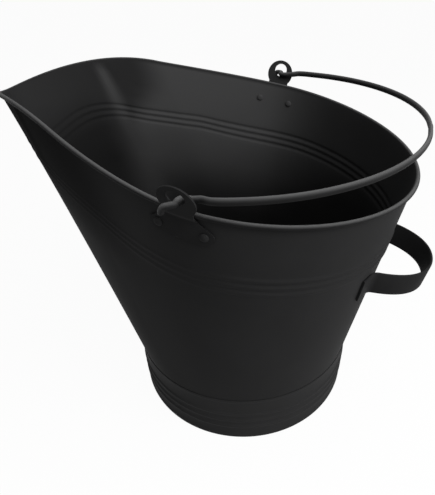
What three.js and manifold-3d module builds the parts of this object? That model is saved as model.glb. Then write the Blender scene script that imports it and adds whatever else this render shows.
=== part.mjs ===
// Coal scuttle: a sheet steel bucket on a round foot, drawn out into a pouring lip at the front.
//
// Millimetres, +Z up, the lip towards -Y. Everything is laid out from the centre of the foot, and the
// whole scuttle is then centred over its origin, which lies on the floor.
//
// The wall is one sheet ruled from a circle on the foot to a sweeping rim. Its top edge is rolled
// outward round a wire, three beads are pressed round it below the rim, and its lower edge steps in
// to a neck that stands inside the foot ring and holds the bottom pan.

import * as THREE from 'three';
import { mergeVertices } from 'three/addons/utils/BufferGeometryUtils.js';
import Module from 'manifold-3d';

const wasm = await Module();
wasm.setup();

// ---------------------------------------------------------------- sizes

// clearances between pieces that touch
const seat = 0.3; // between a piece and the face it rests on
const nest = 0.5; // between round pieces that sit one inside the other

// foot ring
const footRadius = 115;
const footHeight = 61;
const footSheet = 0.8;
const footBeadHeights = [38.5, 28.5, 18.5];
const footBeadWidth = 6.5;
const footBeadRise = 1.1;
const footLipDepth = 5;
const footLipRise = 0.8;
const hemHeight = 6;
const hemRise = 0.7;
const hemWidth = 2.6;
const hemTuck = 0.15; // share of the hem's round that is flattened on the floor

// body sheet
const sheet = 0.7;
const neckDepth = 22;
const neckTurn = 3.2;
const beadBelowRim = 57;
const beadPitch = 6.4;
const beadCount = 3;
const beadRise = 1.1;
const beadFoldRise = 12.5; // how much nearer the rim the beads run where the lip folds
const beadFoldRun = 58; // over this length of rim to either side
const foldShare = 0.62; // where the lip folds, as a share of the way from shoulder to tip

// the rim, as the centre line of its wire: rear, side, shoulder and lip
const rimWireRadius = 1.0;
const rimWireGap = 0.25;
const rollStart = Math.PI;
const rollEnd = -Math.PI * 2 / 3;
const rearReach = 148.6;
const rearHeight = 259.6;
const rearRound = 75.3;
const mouthHalfWidth = 138.6;
const widestY = 9.2;
const sideHeight = 279.5;
const sideRise = 0.15;
const sideRound = 72.8;
const flankRun = 49.8;
const shoulderHalfWidth = 95.6;
const shoulderY = -116.9;
const shoulderHeight = 306.1;
const shoulderTurn = 0.49;
const shoulderRise = 0.28;
const shoulderRun = 10;
const flareRun = 69.9;
const lipReach = 227.9;
const lipHeight = 296;
const lipRound = 22;

// where the wall's rulings reach the foot, as angles from the side, positive to the rear
const sideFootAngle = 0;
const shoulderFootAngle = -20 * Math.PI / 180;

// bottom pan
const panSheet = 0.8;
const panCorner = 2.5;
const panFlange = 9;

// ears, measured along the bent plate from the level of the rim wire
const earSheet = 1.2;
const earY = 0.7;
const earHeadRadius = 13.1;
const earHeadRise = 11.3;
const earHoleRadius = 6.2;
const earHoleOffset = 3.6;
const earNeckHalfWidth = 10.2;
const earLean = 0.26;
const earBend = 6;
const rivetSpread = 16.3;
const rivetDrop = 16;
const rivetBoss = 7;

// rivets
const rivetRadius = 1.9;
const rivetHoleGap = 0.3;
const rivetHeadRadius = 3.3;
const rivetHeadRise = 1.9;
const rivetTailRadius = 3.2;
const rivetTailRise = 1.2;
const rivetDomeWidth = 0.6; // share of a head's radius at which its flat top ends
const rivetDomeHeight = 0.8; // share of a head's rise at that radius
const drillReach = 6; // how far the hole for a rivet is drilled to either side

// bail
const bailReach = 147.3;
const bailTall = 5.3;
const bailThick = 3.5;
const bailEndRadius = 2.2;
const bailRest = 2.3 * Math.PI / 180;
const bailRise = 0.8;
const bailSweepEnd = 0.14; // angle at which the oval sweep stops and the neck begins
const bailSwell = 3.1; // how much wider it is to each side than at its necks
const bailNeckRun = 14;
const bailNeckBend = 3.6;
const bailEarGap = 1.4;
const bailRoundRun = 9; // the wire is round up to here from its pivot
const bailFlatRun = 52; // and has its full flattened section from here on
const hookOut = 4.6;
const hookRun = 7.6;
const hookDrop = 5.6;
// the bends of the hook, as shares of how far it goes out, forward and down
const hookBends = [[0.48, 0.34, 0], [0.83, 0.76, 0.11], [0.96, 0.97, 0.57], [1, 1, 1]];

// rear handle
const handleHeight = 177.3;
const handleWidth = 22.9;
const handleSheet = 2.0;
const handleReach = 41.8;
const handleHalfSpan = 44;
const handleTabEnd = 60;
const handleBendStart = 49.5; // where the strap leaves the wall
const handleBendCorner = 44.6;
const handleBendRise = 5;
const handleLegLean = 5;
const handleLegShare = 0.72; // how straight the legs are, as a share of the reach
const handleRoundShare = 0.61; // how flat the grip is, as a share of the half span
// corners of the strap's section, as shares of its width and its thickness
const strapSection = [[-0.5, -0.25], [-0.44, -0.5], [0.44, -0.5], [0.5, -0.25],
  [0.5, 0.25], [0.44, 0.5], [-0.44, 0.5], [-0.5, 0.25]];

// how finely curves are cut into flat facets
const rearSteps = 9;
const earSteps = 6;
const flankSteps = 5;
const noseSteps = 13;
const earStretch = 24; // the stations are closer together this far to either side of an ear
const rowsPerBead = 3;
const footSegments = 48;
const rollSteps = 6;
const wireSides = 6;
const earColumns = 6;
const headArcSteps = 20;
const headHoleSteps = 16;
const rivetSides = 12;
const bailSides = 8;
const bailSweepSteps = 10;
// rows of corners down the ear, as shares of the boss under the rivets and of the drop to them
const earBossRows = [1, 0.86, 0.5, 0];
const earPlateRows = [0.7, 0.45, 0.3, 0.15, 0];

// ---------------------------------------------------------------- finishes

const blackPaint = { color: 0x232323, roughness: 0.48, metalness: 0.1 };
const paintedWire = { color: 0x2b2b2b, roughness: 0.4, metalness: 0.15 };
const bareSteel = { color: 0x6a6a6a, roughness: 0.5, metalness: 0.8 };

// ---------------------------------------------------------------- geometry helpers

function vector(x, y, z) {
  return new THREE.Vector3(x, y, z);
}

function move(point, direction, distance) {
  return point.clone().addScaledVector(direction, distance);
}

function mix(a, b, share) {
  return a + (b - a) * share;
}

function smooth(low, high, value) {
  return THREE.MathUtils.smoothstep(value, low, high);
}

// A closed solid: shared corners merged, faces pointing out.
function solid(geometry) {
  const bare = new THREE.BufferGeometry();
  bare.setAttribute('position', geometry.getAttribute('position'));
  if (geometry.index) bare.setIndex(geometry.index);
  const merged = mergeVertices(bare, 1e-4);
  dropEmptyFaces(merged);
  if (signedVolume(merged) < 0) flip(merged);
  return merged;
}

function dropEmptyFaces(geometry) {
  const source = geometry.index.array;
  const kept = [];
  for (let i = 0; i < source.length; i += 3) {
    const [a, b, c] = [source[i], source[i + 1], source[i + 2]];
    if (a !== b && b !== c && c !== a) kept.push(a, b, c);
  }
  geometry.setIndex(kept);
}

function signedVolume(geometry) {
  const place = geometry.getAttribute('position');
  const index = geometry.index.array;
  const [a, b, c] = [vector(0, 0, 0), vector(0, 0, 0), vector(0, 0, 0)];
  let total = 0;
  for (let i = 0; i < index.length; i += 3) {
    a.fromBufferAttribute(place, index[i]);
    b.fromBufferAttribute(place, index[i + 1]);
    c.fromBufferAttribute(place, index[i + 2]);
    total += a.dot(b.cross(c)) / 6;
  }
  return total;
}

function flip(geometry) {
  const index = geometry.index.array;
  for (let i = 0; i < index.length; i += 3) {
    const first = index[i];
    index[i] = index[i + 1];
    index[i + 1] = first;
  }
}

// Loops of points, one after the other, skinned into a solid: a ring when closed, else capped.
function skin(loops, closed) {
  const count = loops[0].length;
  const points = loops.flat().flatMap((point) => [point.x, point.y, point.z]);
  const faces = [];
  const spans = closed ? loops.length : loops.length - 1;
  for (let i = 0; i < spans; i += 1) {
    const here = i * count;
    const next = ((i + 1) % loops.length) * count;
    for (let j = 0; j < count; j += 1) {
      const k = (j + 1) % count;
      faces.push(here + j, here + k, next + k, here + j, next + k, next + j);
    }
  }
  if (!closed) {
    const last = (loops.length - 1) * count;
    for (let j = 1; j < count - 1; j += 1) {
      faces.push(0, j + 1, j);
      faces.push(last, last + j, last + j + 1);
    }
  }
  const geometry = new THREE.BufferGeometry();
  geometry.setAttribute('position', new THREE.Float32BufferAttribute(points, 3));
  geometry.setIndex(faces);
  return solid(geometry);
}

// A profile of [radius, height] pairs turned about the Z axis.
function turned(profile, segments) {
  const points = profile.map(([radius, height]) => new THREE.Vector2(radius, height));
  const lathe = new THREE.LatheGeometry(points, segments);
  lathe.rotateX(Math.PI / 2);
  return solid(lathe);
}

// A flat triangulated plate given thickness, with each corner put in space by place(a, f, c).
function plate(points, faces, thickness, place) {
  const corners = [];
  for (const level of [thickness / 2, -thickness / 2]) {
    for (const point of points) {
      const corner = place(point.x, point.y, level);
      corners.push(corner.x, corner.y, corner.z);
    }
  }
  const back = points.length;
  const index = [];
  const edges = new Map();
  for (const [a, b, c] of faces) {
    index.push(a, b, c, back + a, back + c, back + b);
    for (const [from, to] of [[a, b], [b, c], [c, a]]) edges.set(`${from} ${to}`, [from, to]);
  }
  for (const [from, to] of edges.values()) {
    if (edges.has(`${to} ${from}`)) continue;
    index.push(from, back + from, back + to, from, back + to, to);
  }
  const geometry = new THREE.BufferGeometry();
  geometry.setAttribute('position', new THREE.Float32BufferAttribute(corners, 3));
  geometry.setIndex(index);
  return solid(geometry);
}

function toManifold(geometry) {
  const vertProperties = new Float32Array(geometry.getAttribute('position').array);
  const triVerts = new Uint32Array(geometry.index.array);
  return new wasm.Manifold(new wasm.Mesh({ numProp: 3, vertProperties, triVerts }));
}

function fromManifold(body) {
  const mesh = body.getMesh();
  const geometry = new THREE.BufferGeometry();
  geometry.setAttribute('position', new THREE.Float32BufferAttribute(mesh.vertProperties, 3));
  geometry.setIndex(Array.from(mesh.triVerts));
  return solid(geometry);
}

function cut(geometry, tools) {
  const body = tools.reduce((rest, tool) => rest.subtract(toManifold(tool)), toManifold(geometry));
  return fromManifold(body);
}

function mirrored(geometry) {
  const copy = geometry.clone();
  copy.scale(-1, 1, 1);
  return solid(copy);
}

// ---------------------------------------------------------------- the wall's layout

// Half of the rim, from the middle of the rear round one side to the tip of the lip.
function halfRim() {
  const across = vector(1, 0, 0);
  const rear = vector(0, rearReach, rearHeight);
  const side = vector(mouthHalfWidth, widestY, sideHeight);
  const shoulder = vector(shoulderHalfWidth, shoulderY, shoulderHeight);
  const lip = vector(0, -lipReach, lipHeight);
  const sideHeading = vector(0, -1, sideRise).normalize();
  const shoulderHeading = vector(-shoulderTurn, -1, shoulderRise).normalize();
  const sideIn = move(side, sideHeading, -sideRound);
  const sideOut = move(side, sideHeading, flankRun);
  const shoulderIn = move(shoulder, shoulderHeading, -shoulderRun);
  const shoulderOut = move(shoulder, shoulderHeading, flareRun);
  const path = new THREE.CurvePath();
  path.add(new THREE.CubicBezierCurve3(rear, move(rear, across, rearRound), sideIn, side));
  path.add(new THREE.CubicBezierCurve3(side, sideOut, shoulderIn, shoulder));
  path.add(new THREE.CubicBezierCurve3(shoulder, shoulderOut, move(lip, across, lipRound), lip));
  return path;
}

const rim = halfRim();
const [rearEnd, flankEnd, noseEnd] = rim.getCurveLengths();

const rollInside = rimWireRadius + rimWireGap;
const rollOutside = rollInside + sheet;
const rollMiddle = (rollInside + rollOutside) / 2;
const neckRadius = footRadius - footSheet - nest;
const ledgeHeight = footHeight + seat;
const coneRadius = footRadius;
const coneHeight = ledgeHeight + sheet / 2;
const neckBottom = ledgeHeight - neckDepth;
const foldStation = mix(flankEnd, noseEnd, foldShare);

// The angle on the foot that the ruling at this distance along the rim comes down to.
function footAngle(distance) {
  const rearAngle = Math.PI / 2;
  if (distance < rearEnd) return mix(rearAngle, sideFootAngle, distance / rearEnd);
  if (distance < flankEnd) {
    const share = (distance - rearEnd) / (flankEnd - rearEnd);
    return mix(sideFootAngle, shoulderFootAngle, share);
  }
  const share = (distance - flankEnd) / (noseEnd - flankEnd);
  return mix(shoulderFootAngle, -rearAngle, (share + share * share) / 2);
}

// The wall at a distance along the half rim: its ruling and the directions along, up and out of it.
function wallFrame(distance) {
  const share = THREE.MathUtils.clamp(distance / noseEnd, 0, 1);
  const wire = rim.getPoint(share);
  const along = rim.getTangent(share);
  const angle = footAngle(distance);
  const foot = vector(coneRadius * Math.cos(angle), coneRadius * Math.sin(angle), coneHeight);
  const rough = wire.clone().sub(foot).normalize();
  const out = rough.clone().cross(along).normalize();
  const top = move(wire, out, -rollMiddle);
  const up = top.clone().sub(foot);
  const length = up.length();
  up.normalize();
  out.addScaledVector(up, -out.dot(up)).normalize();
  const square = along.clone().cross(out).normalize();
  return { wire, along, angle, top, up, out, square, length, bead: beadLine(distance) };
}

// How far below the wall's top the middle of the beads runs, at a distance along the half rim.
function beadLine(distance) {
  const fromFold = (distance - foldStation) / beadFoldRun;
  if (Math.abs(fromFold) >= 1) return beadBelowRim;
  return beadBelowRim - beadFoldRise * Math.cos(Math.PI / 2 * fromFold) ** 2;
}

// How far the sheet stands out at a distance from the middle of the beads.
function beadPress(fromMiddle) {
  if (Math.abs(fromMiddle) >= beadPitch * beadCount / 2) return 0;
  const turns = fromMiddle / beadPitch + (beadCount - 1) / 2;
  return beadRise * Math.cos(Math.PI * turns) ** 2;
}

function wallPoint(frame, below, offset) {
  const press = beadPress(below - frame.bead);
  return move(move(frame.top, frame.up, -below), frame.out, press + offset);
}

function neckPoint(frame, radius, height) {
  return vector(radius * Math.cos(frame.angle), radius * Math.sin(frame.angle), height);
}

function rollPoint(frame, angle, radius) {
  return move(move(frame.wire, frame.out, radius * Math.cos(angle)), frame.up, radius * Math.sin(angle));
}

// Distances below the top at which the wall has a row of corners.
function wallRows(frame) {
  const first = frame.bead - beadPitch * beadCount / 2;
  const rows = [first / 2];
  for (let i = 0; i <= beadCount * rowsPerBead; i += 1) rows.push(first + i * beadPitch / rowsPerBead);
  rows.push(mix(rows[rows.length - 1], frame.length, 0.5));
  return rows;
}

// One slice through the body sheet, as a closed loop: outer face, roll, inner face, neck.
function bodySection(frame) {
  const rows = wallRows(frame);
  const outer = rows.slice().reverse().map((below) => wallPoint(frame, below, sheet / 2));
  const inner = rows.map((below) => wallPoint(frame, below, -sheet / 2));
  const rollAngles = [];
  for (let i = 0; i <= rollSteps; i += 1) rollAngles.push(mix(rollStart, rollEnd, i / rollSteps));
  const rollIn = rollAngles.map((angle) => rollPoint(frame, angle, rollInside));
  const rollOut = rollAngles.slice().reverse().map((angle) => rollPoint(frame, angle, rollOutside));
  const turnRadius = neckRadius - neckTurn;
  return [
    neckPoint(frame, turnRadius, neckBottom),
    neckPoint(frame, neckRadius, neckBottom),
    neckPoint(frame, neckRadius, ledgeHeight),
    wallPoint(frame, frame.length, sheet / 2),
    ...outer,
    ...rollIn,
    ...rollOut,
    ...inner,
    wallPoint(frame, frame.length - sheet, -sheet / 2),
    neckPoint(frame, neckRadius - sheet, ledgeHeight + sheet),
    neckPoint(frame, neckRadius - sheet, neckBottom + sheet),
    neckPoint(frame, turnRadius, neckBottom + sheet),
  ];
}

// Distances along the half rim of the slices, from the rear to the lip.
function stations() {
  const list = [];
  const stretches = [
    [0, earStation - earStretch, rearSteps],
    [earStation - earStretch, earStation + earStretch, earSteps],
    [earStation + earStretch, flankEnd, flankSteps],
    [flankEnd, noseEnd, noseSteps],
  ];
  for (const [from, to, steps] of stretches) {
    for (let i = 0; i < steps; i += 1) list.push(mix(from, to, i / steps));
  }
  list.push(noseEnd);
  return list;
}

// Slices all the way round: one side from rear to lip, then the other side back again.
function roundTheRim(section) {
  const near = stations().map((distance) => section(wallFrame(distance)));
  const far = near.slice(1, -1).reverse();
  return [...near, ...far.map((loop) => loop.map((point) => vector(-point.x, point.y, point.z)))];
}

// ---------------------------------------------------------------- body, wire, foot and pan

function bodySheet() {
  const holes = rivetPlaces().map((place) => rivetTool(place));
  return cut(skin(roundTheRim(bodySection), true), holes);
}

function rimWire() {
  const section = (frame) => {
    const loop = [];
    for (let i = 0; i < wireSides; i += 1) {
      loop.push(rollPoint(frame, Math.PI * 2 * i / wireSides, rimWireRadius));
    }
    return loop;
  };
  return skin(roundTheRim(section), true);
}

// How far the foot ring's sheet stands out from its plain cylinder at a height.
function footPress(height) {
  if (height > footHeight - footLipDepth) {
    return footLipRise * smooth(footHeight - footLipDepth, footHeight - footLipDepth / 2, height);
  }
  if (height < hemHeight) return hemRise * Math.sin(Math.PI * mix(hemTuck, 1, height / hemHeight));
  for (const centre of footBeadHeights) {
    const turns = (height - centre) / footBeadWidth;
    if (Math.abs(turns) < 0.5) return footBeadRise * Math.cos(Math.PI * turns) ** 2;
  }
  return 0;
}

function footRing() {
  const heights = [footHeight, footHeight - footLipDepth / 2, footHeight - footLipDepth];
  for (const centre of footBeadHeights) {
    for (const share of [1 / 2, 1 / 6, -1 / 6, -1 / 2]) heights.push(centre + share * footBeadWidth);
  }
  heights.push(hemHeight);
  const outer = heights.map((height) => [footRadius + footPress(height), height]);
  const inner = heights.map((height) => [footRadius - footSheet + footPress(height), height]);
  const hem = [
    [footRadius + footPress(hemHeight / 2), hemHeight / 2],
    [footRadius + footPress(0), 0],
    [footRadius - hemWidth, 0],
    [footRadius - hemWidth, hemHeight - footSheet],
  ];
  const profile = [...outer, ...hem, ...inner.reverse(), outer[0]];
  return turned(profile, footSegments);
}

function bottomPan() {
  const radius = neckRadius - sheet - nest;
  const low = neckBottom + sheet + seat;
  const high = low + panFlange + panCorner;
  const profile = [
    [0, high],
    [radius - panCorner, high],
    [radius, high - panCorner],
    [radius, low],
    [radius - panSheet, low],
    [radius - panSheet, high - panCorner],
    [radius - panCorner, high - panSheet],
    [0, high - panSheet],
  ];
  return turned(profile, footSegments);
}

// ---------------------------------------------------------------- ears

const earStation = rimDistanceAtY(earY);
const earFrame = wallFrame(earStation);
const earWallOffset = -rollInside + seat + earSheet / 2;
const earRollOffset = rollOutside + seat + earSheet / 2;

// Distance along the half rim, on its side and flank, at which it passes a place from front to back.
function rimDistanceAtY(y) {
  let low = 0;
  let high = noseEnd;
  for (let i = 0; i < 40; i += 1) {
    const middle = (low + high) / 2;
    if (rim.getPoint(middle / noseEnd).y > y) low = middle;
    else high = middle;
  }
  return low;
}

// Side view of the bent ear: how far out and how far up it is, at a distance along its length.
function earBendPoint(rise) {
  if (rise >= 0) return { out: earRollOffset + rise * Math.sin(earLean), up: rise * Math.cos(earLean) };
  const share = smooth(-earBend, 0, rise);
  return { out: mix(earWallOffset, earRollOffset, share), up: rise };
}

// A point of the ear: a along the rim, rise along the plate, and its depth through the sheet.
function earPoint(a, rise, depth) {
  const here = earBendPoint(rise);
  const step = 0.05;
  const next = earBendPoint(rise + step);
  const slope = Math.atan2(next.out - here.out, next.up - here.up);
  const out = here.out + depth * Math.cos(slope);
  const up = here.up - depth * Math.sin(slope);
  const local = wallFrame(earStation + a);
  const follow = move(move(local.wire, local.square, up), local.out, out);
  const flat = move(move(move(earFrame.wire, earFrame.along, a), earFrame.square, up), earFrame.out, out);
  return follow.lerp(flat, smooth(-earBend, 0, rise));
}

// Half the ear's width below the rim: a boss round each rivet, drawn in to the neck.
function earHalfWidth(rise) {
  const fromRivet = rise + rivetDrop;
  if (fromRivet <= 0) return rivetSpread + Math.sqrt(Math.max(rivetBoss ** 2 - fromRivet ** 2, 0));
  const share = smooth(0, rivetDrop - earBend / 2, fromRivet);
  return mix(rivetSpread + rivetBoss, earNeckHalfWidth, share);
}

function ear() {
  const columns = earColumns;
  const rises = [];
  for (const share of earBossRows) rises.push(-rivetDrop - rivetBoss * share);
  for (const share of earPlateRows) rises.push(-rivetDrop * share);
  const points = [];
  const faces = [];
  for (const rise of rises) {
    for (let j = 0; j <= columns; j += 1) {
      points.push(new THREE.Vector2(mix(-1, 1, j / columns) * earHalfWidth(rise), rise));
    }
  }
  for (let i = 0; i < rises.length - 1; i += 1) {
    for (let j = 0; j < columns; j += 1) {
      const here = i * (columns + 1) + j;
      const above = here + columns + 1;
      faces.push([here, here + 1, above + 1], [here, above + 1, above]);
    }
  }
  addEarHead(points, faces, columns);
  return plate(points, faces, earSheet, earPoint);
}

// The flat head above the rim: the neck's top row, the head's arc and the hole for the bail.
function addEarHead(points, faces, columns) {
  const neckAngle = Math.acos(earNeckHalfWidth / earHeadRadius);
  const known = [];
  for (let j = 0; j <= columns; j += 1) known.push(points.length - columns - 1 + j);
  const contour = known.map((index) => points[index]);
  for (let i = 0; i <= headArcSteps; i += 1) {
    const angle = mix(-neckAngle, Math.PI + neckAngle, i / headArcSteps);
    const rise = earHeadRise + earHeadRadius * Math.sin(angle);
    contour.push(new THREE.Vector2(earHeadRadius * Math.cos(angle), rise));
  }
  const hole = [];
  for (let i = 0; i < headHoleSteps; i += 1) {
    const angle = Math.PI * 2 * i / headHoleSteps;
    const rise = earHeadRise + earHoleOffset + earHoleRadius * Math.sin(angle);
    hole.push(new THREE.Vector2(earHoleRadius * Math.cos(angle), rise));
  }
  const places = known.slice();
  for (const point of [...contour.slice(known.length), ...hole]) places.push(points.push(point) - 1);
  const all = [...contour, ...hole];
  for (const [a, b, c] of THREE.ShapeUtils.triangulateShape(contour, [hole])) {
    const area = all[b].clone().sub(all[a]).cross(all[c].clone().sub(all[a]));
    faces.push(area > 0 ? [places[a], places[b], places[c]] : [places[a], places[c], places[b]]);
  }
}

function earWithHoles() {
  const holes = rivetPlaces().filter((place) => place.side > 0).map((place) => rivetTool(place));
  return cut(ear(), holes);
}

// ---------------------------------------------------------------- rivets

// The two rivets of each ear: their side, their place in the middle of the ear's sheet and their axis.
function rivetPlaces() {
  const places = [];
  for (const end of ['front', 'rear']) {
    const a = end === 'front' ? rivetSpread : -rivetSpread;
    const centre = earPoint(a, -rivetDrop, 0);
    const axis = wallFrame(earStation + a).out;
    places.push({ side: 1, end, centre, axis });
    const mirror = (point) => vector(-point.x, point.y, point.z);
    places.push({ side: -1, end, centre: mirror(centre), axis: mirror(axis) });
  }
  return places;
}

function alongAxis(geometry, place) {
  const turn = new THREE.Quaternion().setFromUnitVectors(vector(0, 0, 1), place.axis);
  geometry.applyQuaternion(turn);
  geometry.translate(place.centre.x, place.centre.y, place.centre.z);
  return geometry;
}

function rivetTool(place) {
  const radius = rivetRadius + rivetHoleGap;
  const profile = [[0, -drillReach], [radius, -drillReach], [radius, drillReach], [0, drillReach]];
  return alongAxis(turned(profile, rivetSides), place);
}

function rivet(place) {
  const headSeat = earSheet / 2 + seat;
  const tailSeat = -earSheet / 2 - seat - sheet - seat;
  const profile = [
    [0, headSeat + rivetHeadRise],
    [rivetHeadRadius * rivetDomeWidth, headSeat + rivetHeadRise * rivetDomeHeight],
    [rivetHeadRadius, headSeat],
    [rivetRadius, headSeat],
    [rivetRadius, tailSeat],
    [rivetTailRadius, tailSeat],
    [rivetTailRadius * rivetDomeWidth, tailSeat - rivetTailRise * rivetDomeHeight],
    [0, tailSeat - rivetTailRise],
  ];
  return alongAxis(turned(profile, rivetSides), place);
}

// ---------------------------------------------------------------- bail

// The line the bail turns about, where its end lies in the bottom of the ear's hole.
function bailPivot() {
  const centre = earPoint(0, earHeadRise + earHoleOffset, 0);
  const flat = earFrame.out.clone().multiplyScalar(Math.cos(earLean));
  const face = move(flat, earFrame.square, -Math.sin(earLean)).normalize();
  const drop = earHoleRadius * Math.sqrt(1 - face.z ** 2) - earSheet / 2 * Math.abs(face.z);
  const height = centre.z - drop + bailEndRadius + seat;
  const plateX = centre.x - (centre.z - height) * Math.abs(face.z) / face.x;
  return { y: centre.y, z: height, plateX, halfSheet: earSheet / 2 / face.x };
}

// Half of the bail's centre line, from its middle to the tip of its hook, in the bail's own plane:
// x across, y away from the pivot, z above the plane through the pivot.
function halfBail(pivot) {
  const neck = pivot.plateX - pivot.halfSheet - bailEndRadius - bailEarGap;
  const outside = pivot.plateX + pivot.halfSheet + bailEndRadius + seat;
  const halfWidth = neck + bailSwell;
  const points = [];
  for (let i = 0; i <= bailSweepSteps; i += 1) {
    const angle = mix(Math.PI / 2, bailSweepEnd, i / bailSweepSteps);
    points.push(vector(halfWidth * Math.cos(angle), bailReach * Math.sin(angle), bailRise));
  }
  points.push(vector(neck, bailNeckRun, bailRise / 2));
  points.push(vector(neck, (bailNeckRun + bailNeckBend) / 2, 0));
  for (const angle of [0, Math.PI / 4, Math.PI / 2]) {
    const x = neck + bailNeckBend * (1 - Math.cos(angle));
    points.push(vector(x, bailNeckBend * (1 - Math.sin(angle)), 0));
  }
  points.push(vector(outside, 0, 0));
  for (const [out, run, drop] of hookBends) {
    points.push(vector(outside + out * hookOut, -run * hookRun, -drop * hookDrop));
  }
  return points;
}

// Points along a smooth curve, with the same number of steps between each two of its own points.
function sampled(points, steps) {
  const curve = new THREE.CatmullRomCurve3(points, false, 'centripetal');
  const count = (points.length - 1) * steps;
  const list = [];
  for (let i = 0; i <= count; i += 1) list.push(curve.getPoint(i / count));
  return list;
}

// Directions square to a path, carried along it from its middle without twisting.
function carriedNormals(path, start) {
  const middle = (path.length - 1) / 2;
  const tangents = path.map((point, i) => {
    const before = path[Math.max(i - 1, 0)];
    const after = path[Math.min(i + 1, path.length - 1)];
    return after.clone().sub(before).normalize();
  });
  const normals = [];
  normals[middle] = start.clone();
  for (const step of [1, -1]) {
    for (let i = middle + step; i >= 0 && i < path.length; i += step) {
      const turn = new THREE.Quaternion().setFromUnitVectors(tangents[i - step], tangents[i]);
      normals[i] = normals[i - step].clone().applyQuaternion(turn);
    }
  }
  return normals.map((normal, i) => ({ normal, across: tangents[i].clone().cross(normal) }));
}

function bail() {
  const pivot = bailPivot();
  const half = sampled(halfBail(pivot), 2);
  const other = half.slice(1).reverse().map((point) => vector(-point.x, point.y, point.z));
  const path = [...other, ...half];
  const frames = carriedNormals(path, vector(0, 0, 1));
  const loops = path.map((point, i) => {
    const share = smooth(bailRoundRun, bailFlatRun, point.y);
    const tall = mix(bailEndRadius, bailTall / 2, share);
    const thick = mix(bailEndRadius, bailThick / 2, share);
    const loop = [];
    for (let j = 0; j < bailSides; j += 1) {
      const angle = Math.PI * 2 * j / bailSides;
      const raised = move(point, frames[i].normal, tall * Math.sin(angle));
      loop.push(move(raised, frames[i].across, thick * Math.cos(angle)));
    }
    return loop;
  });
  const geometry = skin(loops, false);
  geometry.rotateX(bailRest);
  geometry.translate(0, pivot.y, pivot.z);
  return geometry;
}

// ---------------------------------------------------------------- rear handle

// The rear wall at a place across and a height: a point on its outer face.
function rearWall(x, height) {
  let low = 0;
  let high = rearEnd;
  let place = wallAtHeight(low, height);
  for (let i = 0; i < 30; i += 1) {
    const middle = (low + high) / 2;
    place = wallAtHeight(middle, height);
    if (place.point.x < Math.abs(x)) low = middle;
    else high = middle;
  }
  const side = Math.sign(x) || 1;
  const mirror = (point) => vector(point.x * side, point.y, point.z);
  return { point: mirror(place.point), out: mirror(place.out), up: mirror(place.up) };
}

function wallAtHeight(distance, height) {
  const frame = wallFrame(distance);
  const below = (frame.top.z - height) / frame.up.z;
  return { point: wallPoint(frame, below, sheet / 2), out: frame.out, up: frame.up };
}

// The strap's line seen from above, as places across and distances off the wall.
function handleLine() {
  const start = new THREE.Vector2(handleTabEnd, 0);
  const bendIn = new THREE.Vector2(handleBendStart, 0);
  const corner = new THREE.Vector2(handleBendCorner, 0);
  const bendOut = new THREE.Vector2(handleHalfSpan, handleBendRise);
  const leg = new THREE.Vector2(handleHalfSpan - handleLegLean, handleReach * handleLegShare);
  const round = new THREE.Vector2(handleHalfSpan * handleRoundShare, handleReach);
  const middle = new THREE.Vector2(0, handleReach);
  const tab = new THREE.LineCurve(start, bendIn).getPoints(2);
  const bend = new THREE.QuadraticBezierCurve(bendIn, corner, bendOut).getPoints(4).slice(1);
  const loop = new THREE.CubicBezierCurve(bendOut, leg, round, middle).getPoints(10).slice(1);
  const half = [...tab, ...bend, ...loop];
  const other = half.slice(0, -1).reverse().map((point) => new THREE.Vector2(-point.x, point.y));
  return [...half, ...other];
}

function rearHandle() {
  const middle = rearWall(0, handleHeight);
  const centre = handleLine().map((point) => {
    const wall = rearWall(point.x, handleHeight);
    const onWall = move(wall.point, wall.out, seat + handleSheet / 2);
    return { point: move(onWall, middle.out, point.y), up: wall.up };
  });
  const loops = centre.map(({ point, up }, i) => {
    const before = centre[Math.max(i - 1, 0)].point;
    const after = centre[Math.min(i + 1, centre.length - 1)].point;
    const along = after.clone().sub(before).normalize();
    const out = up.clone().cross(along).normalize();
    return strapSection.map(([wide, deep]) => {
      return move(move(point, up, wide * handleWidth), out, deep * handleSheet);
    });
  });
  return skin(loops, false);
}

// ---------------------------------------------------------------- the scuttle

function part(name, geometry, finish) {
  const shown = geometry.clone();
  shown.computeVertexNormals();
  const mesh = new THREE.Mesh(shown, new THREE.MeshStandardMaterial(finish));
  mesh.name = name;
  return mesh;
}

function scuttle() {
  const group = new THREE.Group();
  const rightEar = earWithHoles();
  group.add(part('body_sheet', bodySheet(), blackPaint));
  group.add(part('rim_wire', rimWire(), bareSteel));
  group.add(part('foot_ring', footRing(), blackPaint));
  group.add(part('bottom_pan', bottomPan(), blackPaint));
  group.add(part('ear_right', rightEar, blackPaint));
  group.add(part('ear_left', mirrored(rightEar), blackPaint));
  for (const place of rivetPlaces()) {
    const side = place.side > 0 ? 'right' : 'left';
    group.add(part(`rivet_${side}_${place.end}`, rivet(place), blackPaint));
  }
  group.add(part('bail', bail(), paintedWire));
  group.add(part('rear_handle', rearHandle(), blackPaint));
  const box = new THREE.Box3().setFromObject(group);
  group.position.y = -(box.min.y + box.max.y) / 2;
  return group;
}

export default scuttle();
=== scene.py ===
"""Dresses a black sheet steel coal scuttle: fine meshes, satin paint, a pale studio and the camera.

Sizes are in millimetres, laid out from the centre of the foot. A mesh's points are moved into the
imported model's frame, in metres, when it is made. The pouring lip points along -Y and +Z is up.
"""

from __future__ import annotations

import logging
import math
from collections.abc import Sequence
from dataclasses import dataclass, field
from enum import Enum

import bpy
import numpy as np
from mathutils import Matrix, Vector


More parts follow.
